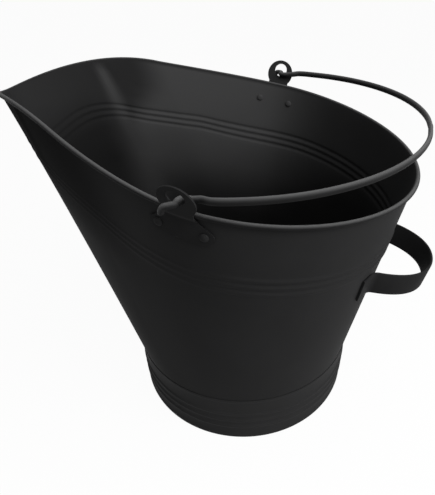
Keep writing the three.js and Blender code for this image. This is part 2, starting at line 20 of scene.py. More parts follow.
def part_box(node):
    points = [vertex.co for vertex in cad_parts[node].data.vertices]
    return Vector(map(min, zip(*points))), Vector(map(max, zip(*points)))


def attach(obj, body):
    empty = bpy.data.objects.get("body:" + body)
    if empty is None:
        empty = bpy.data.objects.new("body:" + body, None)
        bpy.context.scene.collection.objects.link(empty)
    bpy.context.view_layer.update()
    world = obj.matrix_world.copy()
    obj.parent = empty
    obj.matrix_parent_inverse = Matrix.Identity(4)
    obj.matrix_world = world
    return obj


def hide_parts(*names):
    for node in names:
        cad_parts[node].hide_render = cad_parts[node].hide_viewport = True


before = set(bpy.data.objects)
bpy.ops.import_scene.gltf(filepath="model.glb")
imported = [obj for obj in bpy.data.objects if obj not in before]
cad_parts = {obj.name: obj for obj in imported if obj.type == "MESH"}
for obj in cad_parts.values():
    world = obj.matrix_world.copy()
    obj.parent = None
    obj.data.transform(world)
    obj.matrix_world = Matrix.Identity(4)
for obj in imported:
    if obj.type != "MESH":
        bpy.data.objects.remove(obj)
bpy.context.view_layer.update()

LOG = logging.getLogger("coal_scuttle")
METRES_PER_MM = 0.001
SHARP_EDGE_DEGREES = 38.0
BEVEL_EDGE_DEGREES = 40.0
WHITE = (1.0, 1.0, 1.0, 1.0)

Colour = tuple[float, float, float]
Values = float | np.ndarray


def foot_centre_y() -> float:
    """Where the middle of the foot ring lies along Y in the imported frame, in metres.

    Returns:
        The Y of the foot's axis, by which every point laid out from the foot is moved.
    """
    low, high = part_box("foot_ring")
    return (low[1] + high[1]) / 2


def unit(vectors: np.ndarray) -> np.ndarray:
    """Vectors scaled to length one.

    Args:
        vectors: An array whose last axis holds X, Y and Z.

    Returns:
        An array of the same shape.
    """
    return vectors / np.linalg.norm(vectors, axis=-1, keepdims=True)


def mix(low: Values, high: Values, share: Values) -> Values:
    """The value a share of the way from low to high.

    Args:
        low: The value at share 0.
        high: The value at share 1.
        share: How far along.

    Returns:
        The value or values there.
    """
    return low + (high - low) * share


def smooth(low: Values, high: Values, value: Values) -> np.ndarray:
    """An eased step from 0 at low to 1 at high.

    Args:
        low: Where the step starts.
        high: Where the step ends.
        value: Where to look.

    Returns:
        The eased share at each value.
    """
    share = np.clip((np.asarray(value, float) - low) / (high - low), 0.0, 1.0)
    return share * share * (3.0 - 2.0 * share)


def hump(value: np.ndarray, centre: Values, reach: Values) -> np.ndarray:
    """A rounded hump that is 1 at its centre and 0 from its reach on.

    Args:
        value: Where to look.
        centre: The middle of the hump.
        reach: How far it goes to either side.

    Returns:
        The hump's height at each value.
    """
    return np.cos(math.pi / 2 * np.clip((value - centre) / reach, -1.0, 1.0)) ** 2


def bezier(handles: Sequence[Sequence[float]], shares: np.ndarray) -> np.ndarray:
    """Points along a curve that is drawn by its ends and the handles between them.

    Args:
        handles: The start, the handles and the end, in order.
        shares: How far along each point lies, from 0 to 1.

    Returns:
        One row for each share.
    """
    degree = len(handles) - 1
    along = np.asarray(shares, float)[:, None]
    weights = [math.comb(degree, k) * (1.0 - along) ** (degree - k) * along**k
               for k in range(degree + 1)]
    return sum(weight * np.asarray(handle, float) for weight, handle in zip(weights, handles))


def add_object(name: str, data: bpy.types.ID) -> bpy.types.Object:
    """Makes an object and links it to the scene.

    Args:
        name: The new object's name.
        data: Its mesh, camera or light.

    Returns:
        The new object.
    """
    made = bpy.data.objects.new(name, data)
    bpy.context.scene.collection.objects.link(made)
    return made


def aim(thing: bpy.types.Object, direction: Vector) -> None:
    """Turns a camera or a lamp to look along a direction.

    Args:
        thing: The camera or lamp.
        direction: Where it looks.
    """
    thing.rotation_mode = "QUATERNION"
    thing.rotation_quaternion = direction.to_track_quat("-Z", "Y")


def fill(tree: bpy.types.NodeTree, node: bpy.types.Node, inputs: dict[str | int, object]) -> None:
    """Sets a node's inputs to values, or links them from other nodes' outputs.

    Args:
        tree: The tree that the node is in.
        node: The node.
        inputs: A value or an output socket for each input, by its name or number.
    """
    for name, given in inputs.items():
        if isinstance(given, bpy.types.NodeSocket):
            tree.links.new(given, node.inputs[name])
        else:
            node.inputs[name].default_value = given


def add_node(tree: bpy.types.NodeTree, kind: str, inputs: dict[str | int, object] | None = None,
             **options: object) -> bpy.types.Node:
    """Adds a node to a tree.

    Args:
        tree: The tree.
        kind: The node's type.
        inputs: What fills its inputs, as in fill.
        options: Settings of the node itself, such as its operation.

    Returns:
        The new node.
    """
    node = tree.nodes.new(kind)
    for option, setting in options.items():
        setattr(node, option, setting)
    fill(tree, node, inputs or {})
    return node


# ------------------------------------------------------------------------------------ finishes


class Surface(Enum):
    """The finishes that the scuttle's pieces can have."""

    WALL = "wall_paint"
    RIM = "rim_paint"
    LINING = "lining_paint"
    FOOT = "foot_paint"
    BAIL = "bail_paint"
    FITTINGS = "fittings_paint"
    RIM_WIRE = "rim_wire_steel"


@dataclass(frozen=True)
class Finish:
    """What every finish has: two close shades, two close degrees of roughness and a mottle."""

    name: str
    dark: Colour
    pale: Colour
    roughness_low: float = 0.6
    roughness_high: float = 0.68
    mottle_size: float = 14.0

    def start(self, effects: PaintEffects) -> tuple[bpy.types.Material, bpy.types.Node]:
        """Makes a material and places the shared coat in it.

        Args:
            effects: The node groups that every finish here uses.

        Returns:
            The new material, and the coat's node.
        """
        material = bpy.data.materials.new(self.name)
        material.use_nodes = True
        coat = add_node(material.node_tree, "ShaderNodeGroup", {
            "Dark": (*self.dark, 1.0),
            "Pale": (*self.pale, 1.0),
            "Roughness Low": self.roughness_low,
            "Roughness High": self.roughness_high,
            "Mottle Size": self.mottle_size,
        }, node_tree=effects.coat)
        return material, coat


@dataclass(frozen=True)
class SatinPaint(Finish):
    """One coat of satin black paint on steel, with painted light and painted shade laid over it."""

    gloss: float = 0.02
    grain_size: float = 900.0
    grain_depth: float = 0.10
    # A pale colour laid as painted light and painted highlights, and a dark colour laid as painted
    # shade.
    painted_light: Colour | None = None
    painted_shade: Colour = (0.0, 0.0, 0.0)

    def build(self, effects: PaintEffects) -> bpy.types.Material:
        """Makes the material, with the shared paint effects placed in it.

        Args:
            effects: The node groups that every finish here uses.

        Returns:
            The new material.
        """
        material, coat = self.start(effects)
        tree = material.node_tree
        top = coat
        if self.painted_light is not None:
            shares = {
                socket: add_node(tree, "ShaderNodeAttribute", attribute_name=name).outputs["Fac"]
                for name, socket in ((effects.PAINTED_LIGHT, "Painted Light Share"), (effects.PAINTED_SHADE, "Painted Shade Share"))
            }
            top = add_node(tree, "ShaderNodeGroup", {
                "Paint": coat.outputs["Colour"],
                "Roughness": coat.outputs["Roughness"],
                "Pale": (*self.painted_light, 1.0),
                "Black": (*self.painted_shade, 1.0),
                **shares,
            }, node_tree=effects.light_and_shade_group)
        grain = add_node(tree, "ShaderNodeGroup", {
            "Grain Size": self.grain_size,
            "Depth": self.grain_depth,
        }, node_tree=effects.grain)
        fill(tree, tree.nodes["Principled BSDF"], {
            "Specular IOR Level": self.gloss,
            "Base Color": top.outputs["Colour"],
            "Roughness": top.outputs["Roughness"],
            "Normal": grain.outputs["Normal"],
        })
        return material


@dataclass(frozen=True)
class DrawnSteel(Finish):
    """Plain drawn steel wire, as it is inside the rolled rim."""

    def build(self, effects: PaintEffects) -> bpy.types.Material:
        """Makes the material, with the shared coat's mottle in its steel.

        Args:
            effects: The node groups that every finish here uses.

        Returns:
            The new material.
        """
        material, coat = self.start(effects)
        tree = material.node_tree
        fill(tree, tree.nodes["Principled BSDF"], {
            "Metallic": 1.0,
            "Base Color": coat.outputs["Colour"],
            "Roughness": coat.outputs["Roughness"],
        })
        return material


class Socket(Enum):
    """The kinds of socket that the shared node groups have."""

    COLOUR = "NodeSocketColor"
    NUMBER = "NodeSocketFloat"
    VECTOR = "NodeSocketVector"


class PaintEffects:
    """The node groups that the finishes share: the coat's mottle, its grain, and painted light and
    painted shade.
    """

    # Mesh shares: one lays a pale colour as painted light and painted highlights, the other a dark
    # colour as painted shade.
    PAINTED_LIGHT = "painted_light_share"
    PAINTED_SHADE = "painted_shade_share"
    MOTTLE_SPREAD = (0.3, 0.7)
    GRAIN_HEIGHT = 0.0004
    PAINTED_SHADE_ROUGHNESS = 1.0

    def __init__(self) -> None:
        """Builds the groups."""
        self.coat = self._build_coat()
        self.grain = self._build_grain()
        self.light_and_shade_group = self._build_light_and_shade_group()

    @staticmethod
    def _start(name: str, inputs: dict[str, Socket], outputs: dict[str, Socket],
               ) -> tuple[bpy.types.NodeTree, bpy.types.bpy_prop_collection]:
        """Starts a node group with its sockets.

        Args:
            name: The group's name.
            inputs: The kind of each input, by its name.
            outputs: The kind of each output, by its name.

        Returns:
            The group's tree, and the sockets that its inputs arrive on.
        """
        tree = bpy.data.node_groups.new(name, "ShaderNodeTree")
        for way, sockets in (("INPUT", inputs), ("OUTPUT", outputs)):
            for socket, kind in sockets.items():
                tree.interface.new_socket(name=socket, in_out=way, socket_type=kind.value)
        return tree, tree.nodes.new("NodeGroupInput").outputs

    @staticmethod
    def _noise(tree: bpy.types.NodeTree, scale: bpy.types.NodeSocket, detail: float,
               roughness: float) -> bpy.types.NodeSocket:
        """Adds a noise texture laid out in the object's own space.

        Args:
            tree: The node group.
            scale: The socket that gives its scale.
            detail: How many layers of finer noise there are.
            roughness: How strong the finer layers are.

        Returns:
            The socket with the noise.
        """
        place = add_node(tree, "ShaderNodeTexCoord")
        noise = add_node(tree, "ShaderNodeTexNoise", {
            "Vector": place.outputs["Object"],
            "Scale": scale,
            "Detail": detail,
            "Roughness": roughness,
        })
        return noise.outputs["Fac"]

    @staticmethod
    def _blend(tree: bpy.types.NodeTree, share: bpy.types.NodeSocket, low: object, high: object,
               kind: str = "FLOAT") -> bpy.types.NodeSocket:
        """Adds a mix of two numbers or two colours.

        Args:
            tree: The node group.
            share: The socket that says how much of the second there is.
            low: The first one's value or socket.
            high: The second one's value or socket.
            kind: FLOAT for numbers, RGBA for colours.

        Returns:
            The socket with the mix.
        """
        inputs = {"Factor": share, "A": low, "B": high}
        return add_node(tree, "ShaderNodeMix", inputs, data_type=kind).outputs["Result"]

    def _build_coat(self) -> bpy.types.NodeTree:
        """Makes the group for the coat's slow changes of colour and roughness.

        Returns:
            The node group.
        """
        tree, given = self._start("paint_coat", {
            "Dark": Socket.COLOUR,
            "Pale": Socket.COLOUR,
            "Roughness Low": Socket.NUMBER,
            "Roughness High": Socket.NUMBER,
            "Mottle Size": Socket.NUMBER,
        }, {"Colour": Socket.COLOUR, "Roughness": Socket.NUMBER})
        low, high = self.MOTTLE_SPREAD
        spread = add_node(tree, "ShaderNodeMapRange", {
            "Value": self._noise(tree, given["Mottle Size"], detail=4.0, roughness=0.55),
            "From Min": low,
            "From Max": high,
        })
        share = spread.outputs["Result"]
        add_node(tree, "NodeGroupOutput", {
            "Colour": self._blend(tree, share, given["Dark"], given["Pale"], "RGBA"),
            "Roughness": self._blend(tree, share, given["Roughness Low"], given["Roughness High"]),
        })
        return tree

    def _build_grain(self) -> bpy.types.NodeTree:
        """Makes the group for the fine orange peel of sprayed paint.

        Returns:
            The node group.
        """
        tree, given = self._start("paint_grain", {
            "Grain Size": Socket.NUMBER,
            "Depth": Socket.NUMBER,
        }, {"Normal": Socket.VECTOR})
        bump = add_node(tree, "ShaderNodeBump", {
            "Distance": self.GRAIN_HEIGHT,
            "Strength": given["Depth"],
            "Height": self._noise(tree, given["Grain Size"], detail=2.0, roughness=0.5),
        })
        add_node(tree, "NodeGroupOutput", {"Normal": bump.outputs["Normal"]})
        return tree

    def _build_light_and_shade_group(self) -> bpy.types.NodeTree:
        """Makes the group that lays painted light, and then dull painted shade, over the paint.

        Returns:
            The node group.
        """
        tree, given = self._start("painted_light_and_shade", {
            "Paint": Socket.COLOUR,
            "Pale": Socket.COLOUR,
            "Black": Socket.COLOUR,
            "Painted Light Share": Socket.NUMBER,
            "Painted Shade Share": Socket.NUMBER,
            "Roughness": Socket.NUMBER,
        }, {"Colour": Socket.COLOUR, "Roughness": Socket.NUMBER})
        painted_shade = given["Painted Shade Share"]
        lightened = self._blend(tree, given["Painted Light Share"], given["Paint"], given["Pale"], "RGBA")
        add_node(tree, "NodeGroupOutput", {
            "Colour": self._blend(tree, painted_shade, lightened, given["Black"], "RGBA"),
            "Roughness": self._blend(tree, painted_shade, given["Roughness"], self.PAINTED_SHADE_ROUGHNESS),
        })
        return tree


class Paints:
    """Every finish in the scene, by the kind of surface it is for."""

    # In every finish here the painted_light colour is laid as painted light and painted highlights,
    # and the painted_shade colour as painted shade.
    FINISHES = {
        Surface.WALL: SatinPaint(
            name="satin_black_wall",
            dark=(0.0180, 0.0180, 0.0183),
            pale=(0.0225, 0.0225, 0.0228),
            painted_light=(0.049, 0.049, 0.0495),
            painted_shade=(0.0135, 0.0135, 0.0137),
        ),
        # Darker than the wall so that the rolled edge's sides read as shaded; its pale colour is a
        # painted highlight along the top.
        Surface.RIM: SatinPaint(
            name="satin_black_rim",
            dark=(0.009, 0.009, 0.0092),
            pale=(0.014, 0.014, 0.0142),
            roughness_low=0.55,
            roughness_high=0.62,
            mottle_size=40.0,
            gloss=0.03,
            grain_size=1100.0,
            grain_depth=0.06,
            painted_light=(0.080, 0.080, 0.0805),
        ),
        Surface.LINING: SatinPaint(
            name="satin_black_lining",
            dark=(0.0180, 0.0180, 0.0183),
            pale=(0.0225, 0.0225, 0.0228),
            painted_light=(0.049, 0.049, 0.0495),
            painted_shade=(0.0080, 0.0080, 0.0081),
        ),
        Surface.FOOT: SatinPaint(
            name="satin_black_foot",
            dark=(0.0210, 0.0210, 0.0213),
            pale=(0.0260, 0.0260, 0.0263),
            mottle_size=18.0,
            gloss=0.025,
        ),
        # Darker than the wall so that the wire's sides read as shaded; its pale colour is a painted
        # highlight along the top.
        Surface.BAIL: SatinPaint(
            name="satin_black_bail",
            dark=(0.010, 0.010, 0.0102),
            pale=(0.015, 0.015, 0.0152),
            roughness_low=0.50,
            roughness_high=0.58,
            mottle_size=30.0,
            gloss=0.04,
            grain_size=1100.0,
            grain_depth=0.08,
            painted_light=(0.080, 0.080, 0.0805),
        ),
        Surface.FITTINGS: SatinPaint(
            name="satin_black_fittings",
            dark=(0.0150, 0.0150, 0.0153),
            pale=(0.0190, 0.0190, 0.0193),
            roughness_low=0.62,
            roughness_high=0.70,
            mottle_size=30.0,
            grain_size=1000.0,
        ),
        Surface.RIM_WIRE: DrawnSteel(
            name="drawn_steel_rim_wire",
            dark=(0.28, 0.28, 0.288),
            pale=(0.35, 0.35, 0.36),
            roughness_low=0.38,
            roughness_high=0.48,
            mottle_size=60.0,
        ),
    }

    def __init__(self) -> None:
        """Builds the shared effects and one material for each surface."""
        effects = PaintEffects()
        self.materials = {surface: paint.build(effects) for surface, paint in self.FINISHES.items()}

    def dress(self, piece: bpy.types.Object, *surfaces: Surface) -> None:
        """Gives a piece its materials, in the order of its faces' material numbers.

        Args:
            piece: A mesh object.
            surfaces: The kinds of surface that it has.
        """
        for surface in surfaces:
            piece.data.materials.append(self.materials[surface])

    def dress_node(self, node: bpy.types.Object, surface: Surface) -> None:
        """Gives a carried-over node one finish, and leaves its mesh alone.

        Args:
            node: The node's object.
            surface: The kind of surface it has.
        """
        for slot in node.material_slots:
            slot.material = self.materials[surface]


# ------------------------------------------------------------------------------------ meshes


class MeshMaker:
    """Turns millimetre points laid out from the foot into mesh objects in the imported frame."""

    def __init__(self, foot_y: float) -> None:
        """Keeps where the foot's axis lies.

        Args:
            foot_y: The foot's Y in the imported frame, in metres.
        """
        self.offset = np.array([0.0, foot_y, 0.0])

    def mesh(self, name: str, points: np.ndarray, faces: list[tuple[int, ...]]) -> bpy.types.Object:
        """Makes a smooth-shaded object whose sharper edges stay sharp.

        Args:
            name: The new object's name.
            points: Corners in millimetres, one row each.
            faces: Tuples of corner numbers.

        Returns:
            The new object, linked to the scene.
        """
        data = bpy.data.meshes.new(name)
        places = np.asarray(points, float) * METRES_PER_MM + self.offset
        data.from_pydata(places.tolist(), [], faces)
        data.validate()
        data.polygons.foreach_set("use_smooth", [True] * len(data.polygons))
        data.set_sharp_from_angle(angle=math.radians(SHARP_EDGE_DEGREES))
        self._face_out(data)
        return add_object(name, data)

    @staticmethod
    def _face_out(data: bpy.types.Mesh) -> None:
        """Turns a closed mesh's faces out if it is inside out.

        Args:
            data: The mesh.
        """
        volume = 0.0
        for face in data.polygons:
            corners = [data.vertices[i].co for i in face.vertices]
            for j in range(1, len(corners) - 1):
                volume += corners[0].dot(corners[j].cross(corners[j + 1]))
        if volume < 0:
            data.flip_normals()

    def ring(self, name: str, loops: np.ndarray, kinds: list[int]) -> bpy.types.Object:
        """Skins loops that run all the way round, so the last joins the first.

        Args:
            name: The new object's name.
            loops: An array of loops, each of the same number of points.
            kinds: The material number of the face after each point of a loop.

        Returns:
            The new object.
        """
        count, width = loops.shape[:2]
        faces = []
        for i in range(count):
            here = i * width
            there = (i + 1) % count * width
            for j in range(width):
                k = (j + 1) % width
                faces.append((here + j, here + k, there + k, there + j))
        piece = self.mesh(name, loops.reshape(-1, 3), faces)
        piece.data.polygons.foreach_set("material_index", kinds * count)
        return piece

    def bar(self, name: str, loops: np.ndarray) -> bpy.types.Object:
        """Skins loops from end to end, with a face closing each end.

        Args:
            name: The new object's name.
            loops: An array of loops, each of the same number of points.

        Returns:
            The new object.
        """
        count, width = loops.shape[:2]
        faces = [tuple(reversed(range(width))), tuple(range((count - 1) * width, count * width))]
        for i in range(count - 1):
            here = i * width
            for j in range(width):
                k = (j + 1) % width
                faces.append((here + j, here + k, here + width + k, here + width + j))
        return self.mesh(name, loops.reshape(-1, 3), faces)

    def turned(self, name: str, profile: list[tuple[float, float]], steps: int,
               place: Matrix | None = None) -> bpy.types.Object:
        """Turns a closed profile about the Z axis; a radius of 0 closes on the axis.

        Args:
            name: The new object's name.
            profile: Pairs of radius and height, in millimetres.
            steps: How many facets go round.
            place: Where the turned piece goes, or None to leave it on the foot's axis.

        Returns:
            The new object.
        """
        points: list[Vector] = []
        rows = []
        for radius, height in profile:
            row = []
            for i in range(1 if radius == 0 else steps):
                angle = 2 * math.pi * i / steps
                row.append(len(points))
                points.append(Vector((radius * math.cos(angle), radius * math.sin(angle), height)))
            rows.append(row)
        faces = []
        closed = profile[0][0] != 0
        pairs = list(zip(rows, rows[1:])) + ([(rows[-1], rows[0])] if closed else [])
        for low, high in pairs:
            for i in range(steps):
                j = (i + 1) % steps
                near, next_one = i % len(low), j % len(low)
                over, next_over = i % len(high), j % len(high)
                corners = [low[near], low[next_one], high[next_over], high[over]]
                faces.append(tuple(dict.fromkeys(corners)))
        if place is not None:
            points = [place @ point for point in points]
        return self.mesh(name, np.array(points), faces)


def add_shares(piece: bpy.types.Object, name: str, values: np.ndarray) -> None:
    """Gives each corner of a piece's mesh a share that its material can read.

    Args:
        piece: A mesh object.
        name: The shares' name.
        values: One share for each corner, in the corners' order.
    """
    layer = piece.data.attributes.new(name, "FLOAT", "POINT")
    layer.data.foreach_set("value", np.asarray(values, float).ravel())


def round_edges(piece: bpy.types.Object, width: float, steps: int = 2) -> None:
    """Adds a small bevel to a piece's sharp edges.

    Args:
        piece: A mesh object.
        width: The bevel's width in millimetres.
        steps: How many faces the bevel has.
    """
    bevel = piece.modifiers.new("edge_radius", "BEVEL")
    bevel.width = width * METRES_PER_MM
    bevel.segments = steps
    bevel.limit_method = "ANGLE"
    bevel.angle_limit = math.radians(BEVEL_EDGE_DEGREES)
    bevel.harden_normals = True


# ------------------------------------------------------------------------------------ the wall


@dataclass(frozen=True)
class RimSizes:
    """The rim's driving sizes, as the centre line of the wire that its edge is rolled round."""

    rear_reach: float = 148.6
    rear_height: float = 259.6
    rear_round: float = 75.3
    half_width: float = 138.6
    widest_y: float = 9.2
    side_height: float = 279.5
    side_rise: float = 0.15
    side_round: float = 72.8
    flank_run: float = 49.8
    shoulder_half_width: float = 95.6
    shoulder_y: float = -116.9
    shoulder_height: float = 306.1
    shoulder_turn: float = 0.49
    shoulder_rise: float = 0.28
    shoulder_run: float = 10.0
    flare_run: float = 69.9
    lip_reach: float = 227.9
    lip_height: float = 296.0
    lip_round: float = 22.0


class RimCurve:
    """Half of the rim, from the middle of the rear round one side to the tip of the lip."""

    SAMPLES = 500

    def __init__(self, sizes: RimSizes) -> None:
        """Lays out the three curves and measures them.

        Args:
            sizes: The rim's driving sizes.
        """
        rear = np.array([0.0, sizes.rear_reach, sizes.rear_height])
        side = np.array([sizes.half_width, sizes.widest_y, sizes.side_height])
        shoulder = np.array([sizes.shoulder_half_width, sizes.shoulder_y, sizes.shoulder_height])
        lip = np.array([0.0, -sizes.lip_reach, sizes.lip_height])
        across = np.array([1.0, 0.0, 0.0])
        heading = unit(np.array([0.0, -1.0, sizes.side_rise]))
        turn = unit(np.array([-sizes.shoulder_turn, -1.0, sizes.shoulder_rise]))
        to_shoulder = shoulder - turn * sizes.shoulder_run
        curves = [
            (rear, rear + across * sizes.rear_round, side - heading * sizes.side_round, side),
            (side, side + heading * sizes.flank_run, to_shoulder, shoulder),
            (shoulder, shoulder + turn * sizes.flare_run, lip + across * sizes.lip_round, lip),
        ]
        shares = np.linspace(0.0, 1.0, self.SAMPLES)
        points = [bezier(handles, shares) for handles in curves]
        tangents = [unit(bezier(np.diff(handles, axis=0), shares)) for handles in curves]
        lengths = [np.linalg.norm(np.diff(part, axis=0), axis=1).sum() for part in points]
        self.ends = [float(end) for end in np.cumsum(lengths)]
        self.points = self._joined(points)
        self.tangents = self._joined(tangents)
        steps = np.linalg.norm(np.diff(self.points, axis=0), axis=1)
        self.distance = np.concatenate([[0.0], np.cumsum(steps)])
        self.length = float(self.distance[-1])

    @staticmethod
    def _joined(parts: list[np.ndarray]) -> np.ndarray:
        """The rows of several parts, with the row that two neighbours share taken once."""
        return np.concatenate([parts[0], *[part[1:] for part in parts[1:]]])

    def at(self, distance: np.ndarray) -> tuple[np.ndarray, np.ndarray]:
        """Points and headings at distances along the half rim.

        Args:
            distance: Distances from the middle of the rear, in millimetres.

        Returns:
            The points, and the unit tangents.
        """
        wanted = np.clip(distance, 0.0, self.length)
        point, heading = (
            np.stack([np.interp(wanted, self.distance, row) for row in rows.T], axis=-1)
            for rows in (self.points, self.tangents)
        )
        return point, unit(heading)

    def distance_at_y(self, y: float) -> float:
        """The distance along the side of the half rim at which it passes a Y.

        Args:
            y: A place from front to back, in millimetres.

        Returns:
            The distance from the middle of the rear.
        """
        return float(np.interp(-y, -self.points[:, 1], self.distance))


@dataclass
class WallFrames:
    """The wall at several distances along the half rim, one row each."""

    distance: np.ndarray
    wire: np.ndarray
    along: np.ndarray
    angle: np.ndarray
    top: np.ndarray
    up: np.ndarray
    out: np.ndarray
    square: np.ndarray
    length: np.ndarray
    bead: np.ndarray


@dataclass
class Wall:
    """The ruled wall from the foot to the rim, with its pressed beads and the lip's soft crease.

    Where a bead or the crease lies, and how far it runs, is measured along the half rim from the
    middle of the rear. The beads' dips and their rise at the fold are measured along the wall's
    slant.
    """

    rim: RimCurve
    seat: float = 0.3
    nest: float = 0.5
    foot_radius: float = 115.0
    foot_height: float = 61.0
    foot_sheet: float = 0.8
    sheet: float = 0.7
    neck_depth: float = 22.0
    neck_turn: float = 3.2
    bead_below_rim: float = 56.5
    bead_pitch: float = 6.7
    bead_count: int = 3
    bead_rise: float = 0.9
    bead_flank_share: float = 0.3
    bead_fold_rise: float = 8.6
    bead_fold_run: float = 58.0
    bead_side_dip: float = 3.5
    bead_side_share: float = 0.6
    bead_side_run: float = 130.0
    bead_flank_dip: float = 5.0
    bead_flank_past: float = 20.0
    bead_flank_run: float = 55.0
    bead_flank_span: tuple[float, float] = (0.75, 1.1)
    fold_share: float = 0.62
    crease_share: float = 0.40
    crease_drift: float = 60.0
    crease_depth: float = 1.4
    crease_half_width: float = 7.5
    crease_spread: float = 30.0
    crease_start: float = 6.0
    crease_end: float = 110.0
    wire_radius: float = 1.0
    wire_gap: float = 0.25
    roll_trim: float = 0.12
    roll_end: float = -math.pi * 2 / 3
    shoulder_foot_angle: float = math.radians(-20)

    @property
    def roll_inside(self) -> float:
        """Radius of the rolled edge's inner face."""
        return self.wire_radius + self.wire_gap

    @property
    def roll_outside(self) -> float:
        """Radius of the rolled edge's outer face."""
        return self.roll_inside + self.sheet

    @property
    def fold_station(self) -> float:
        """Distance along the half rim at which the beads stand highest."""
        _, flank_end, nose_end = self.rim.ends
        return float(mix(flank_end, nose_end, self.fold_share))

    @property
    def crease_station(self) -> float:
        """Distance along the half rim at which the lip's soft crease starts."""
        _, flank_end, nose_end = self.rim.ends
        return float(mix(flank_end, nose_end, self.crease_share))

    @property
    def ledge_height(self) -> float:
        """Height of the step that rests on the foot ring."""
        return self.foot_height + self.seat

    @property
    def neck_radius(self) -> float:
        """Outside radius of the neck inside the foot ring."""
        return self.foot_radius - self.foot_sheet - self.nest

    @property
    def neck_bottom(self) -> float:
        """Height of the neck's turned-in lower edge."""
        return self.ledge_height - self.neck_depth

    def foot_angle(self, distance: np.ndarray) -> np.ndarray:
        """The angle on the foot that each ruling comes down to.

        Args:
            distance: Distances along the half rim.

        Returns:
            Angles from the side, positive to the rear.
        """
        rear_end, flank_end, nose_end = self.rim.ends
        rear = mix(math.pi / 2, 0.0, distance / rear_end)
        flank = mix(0.0, self.shoulder_foot_angle, (distance - rear_end) / (flank_end - rear_end))
        share = (distance - flank_end) / (nose_end - flank_end)
        nose = mix(self.shoulder_foot_angle, -math.pi / 2, (share + share * share) / 2)
        return np.where(distance < rear_end, rear, np.where(distance < flank_end, flank, nose))

    @staticmethod
    def circle(angle: np.ndarray, radius: float, height: float) -> np.ndarray:
        """Points on a level circle round the foot's axis.

        Args:
            angle: The angles of the points, from the side.
            radius: The circle's radius.
            height: Its height.

        Returns:
            One point for each angle.
        """
        level = np.full_like(angle, height)
        return np.stack([radius * np.cos(angle), radius * np.sin(angle), level], axis=-1)

    def frames(self, distance: np.ndarray | float) -> WallFrames:
        """The wall's rulings and directions at distances along the half rim.

        Args:
            distance: One distance or several, in millimetres.

        Returns:
            The frames, one row for each distance.
        """
        distance = np.clip(np.atleast_1d(np.asarray(distance, float)), 0.0, self.rim.length)
        wire, along = self.rim.at(distance)
        angle = self.foot_angle(distance)
        foot = self.circle(angle, self.foot_radius, self.ledge_height + self.sheet / 2)
        out = unit(np.cross(unit(wire - foot), along))
        top = wire - out * (self.roll_inside + self.roll_outside) / 2
        length = np.linalg.norm(top - foot, axis=1)
        up = unit(top - foot)
        out = unit(out - up * np.sum(out * up, axis=1, keepdims=True))
        square = unit(np.cross(along, out))
        bead = self.bead_line(distance)
        return WallFrames(distance, wire, along, angle, top, up, out, square, length, bead)

    def bead_line(self, distance: np.ndarray) -> np.ndarray:
        """How far below the wall's top the beads run: lower on the flank, higher at the fold.

        Args:
            distance: Distances along the half rim.

        Returns:
            Distances down the wall.
        """
        rear_end, flank_end, _ = self.rim.ends
        side = mix(rear_end, flank_end, self.bead_side_share)
        flank = flank_end + self.bead_flank_past
        dip = self.bead_side_dip * hump(distance, side, self.bead_side_run)
        dip += self.bead_flank_dip * hump(distance, flank, self.bead_flank_run)
        rise = self.bead_fold_rise * hump(distance, self.fold_station, self.bead_fold_run)
        return self.bead_below_rim + dip - rise

    def crease_line(self, frames: WallFrames, below: np.ndarray) -> np.ndarray:
        """Where along the half rim the middle of the lip's crease lies at each depth.

        Args:
            frames: Rows of the wall.
            below: The distance below the wall's top, one each.

        Returns:
            Distances along the half rim.
        """
        return self.crease_station + self.crease_drift * (below / frames.length) ** 2

    def crease(self, frames: WallFrames, below: np.ndarray) -> np.ndarray:
        """How strongly the soft crease of the lip shows, at one point of each frame.

        Args:
            frames: Rows of the wall.
            below: The distance below the wall's top, one each.

        Returns:
            Shares from 0 to 1.
        """
        fade_in = smooth(0.0, self.crease_start, below)
        fade_out = 1.0 - smooth(self.crease_start, self.crease_end, below)
        half_width = self.crease_half_width + self.crease_spread * below / frames.length
        line = self.crease_line(frames, below)
        return hump(frames.distance, line, half_width) * fade_in * fade_out

    def press(self, from_middle: np.ndarray) -> np.ndarray:
        """How far the beads stand out at distances from their middle.

        Args:
            from_middle: Distances down the wall from the middle bead.

        Returns:
            The rise of the sheet there.
        """
        turns = from_middle / self.bead_pitch
        wave = self.bead_rise * np.cos(math.pi * turns) ** 2
        return np.where(np.abs(turns) < self.bead_count / 2, wave, 0.0)

    def point(self, frames: WallFrames, below: np.ndarray | float, offset: float) -> np.ndarray:
        """Points on the wall, one for each frame.

        Args:
            frames: Rows of the wall.
            below: The distance below the wall's top, one for all or one each.
            offset: How far out from the middle of the sheet.

        Returns:
            The points.
        """
        below = np.broadcast_to(np.asarray(below, float), frames.length.shape)
        press = self.press(below - frames.bead)
        if offset > 0:
            start, end = (self.rim.ends[0] * share for share in self.bead_flank_span)
            press = press * mix(1.0, self.bead_flank_share, smooth(start, end, frames.distance))
        press = press + self.crease_depth * self.crease(frames, below)
        return frames.top - frames.up * below[:, None] + frames.out * (press + offset)[:, None]

    def roll(self, frames: WallFrames, angle: float, radius: float) -> np.ndarray:
        """Points round the rim wire, one for each frame.

        Args:
            frames: Rows of the wall.
            angle: The angle round the wire, from straight out.
            radius: The distance from the wire's centre line.

        Returns:
            The points.
        """
        out, up = radius * math.cos(angle), radius * math.sin(angle)
        return frames.wire + frames.out * out + frames.up * up


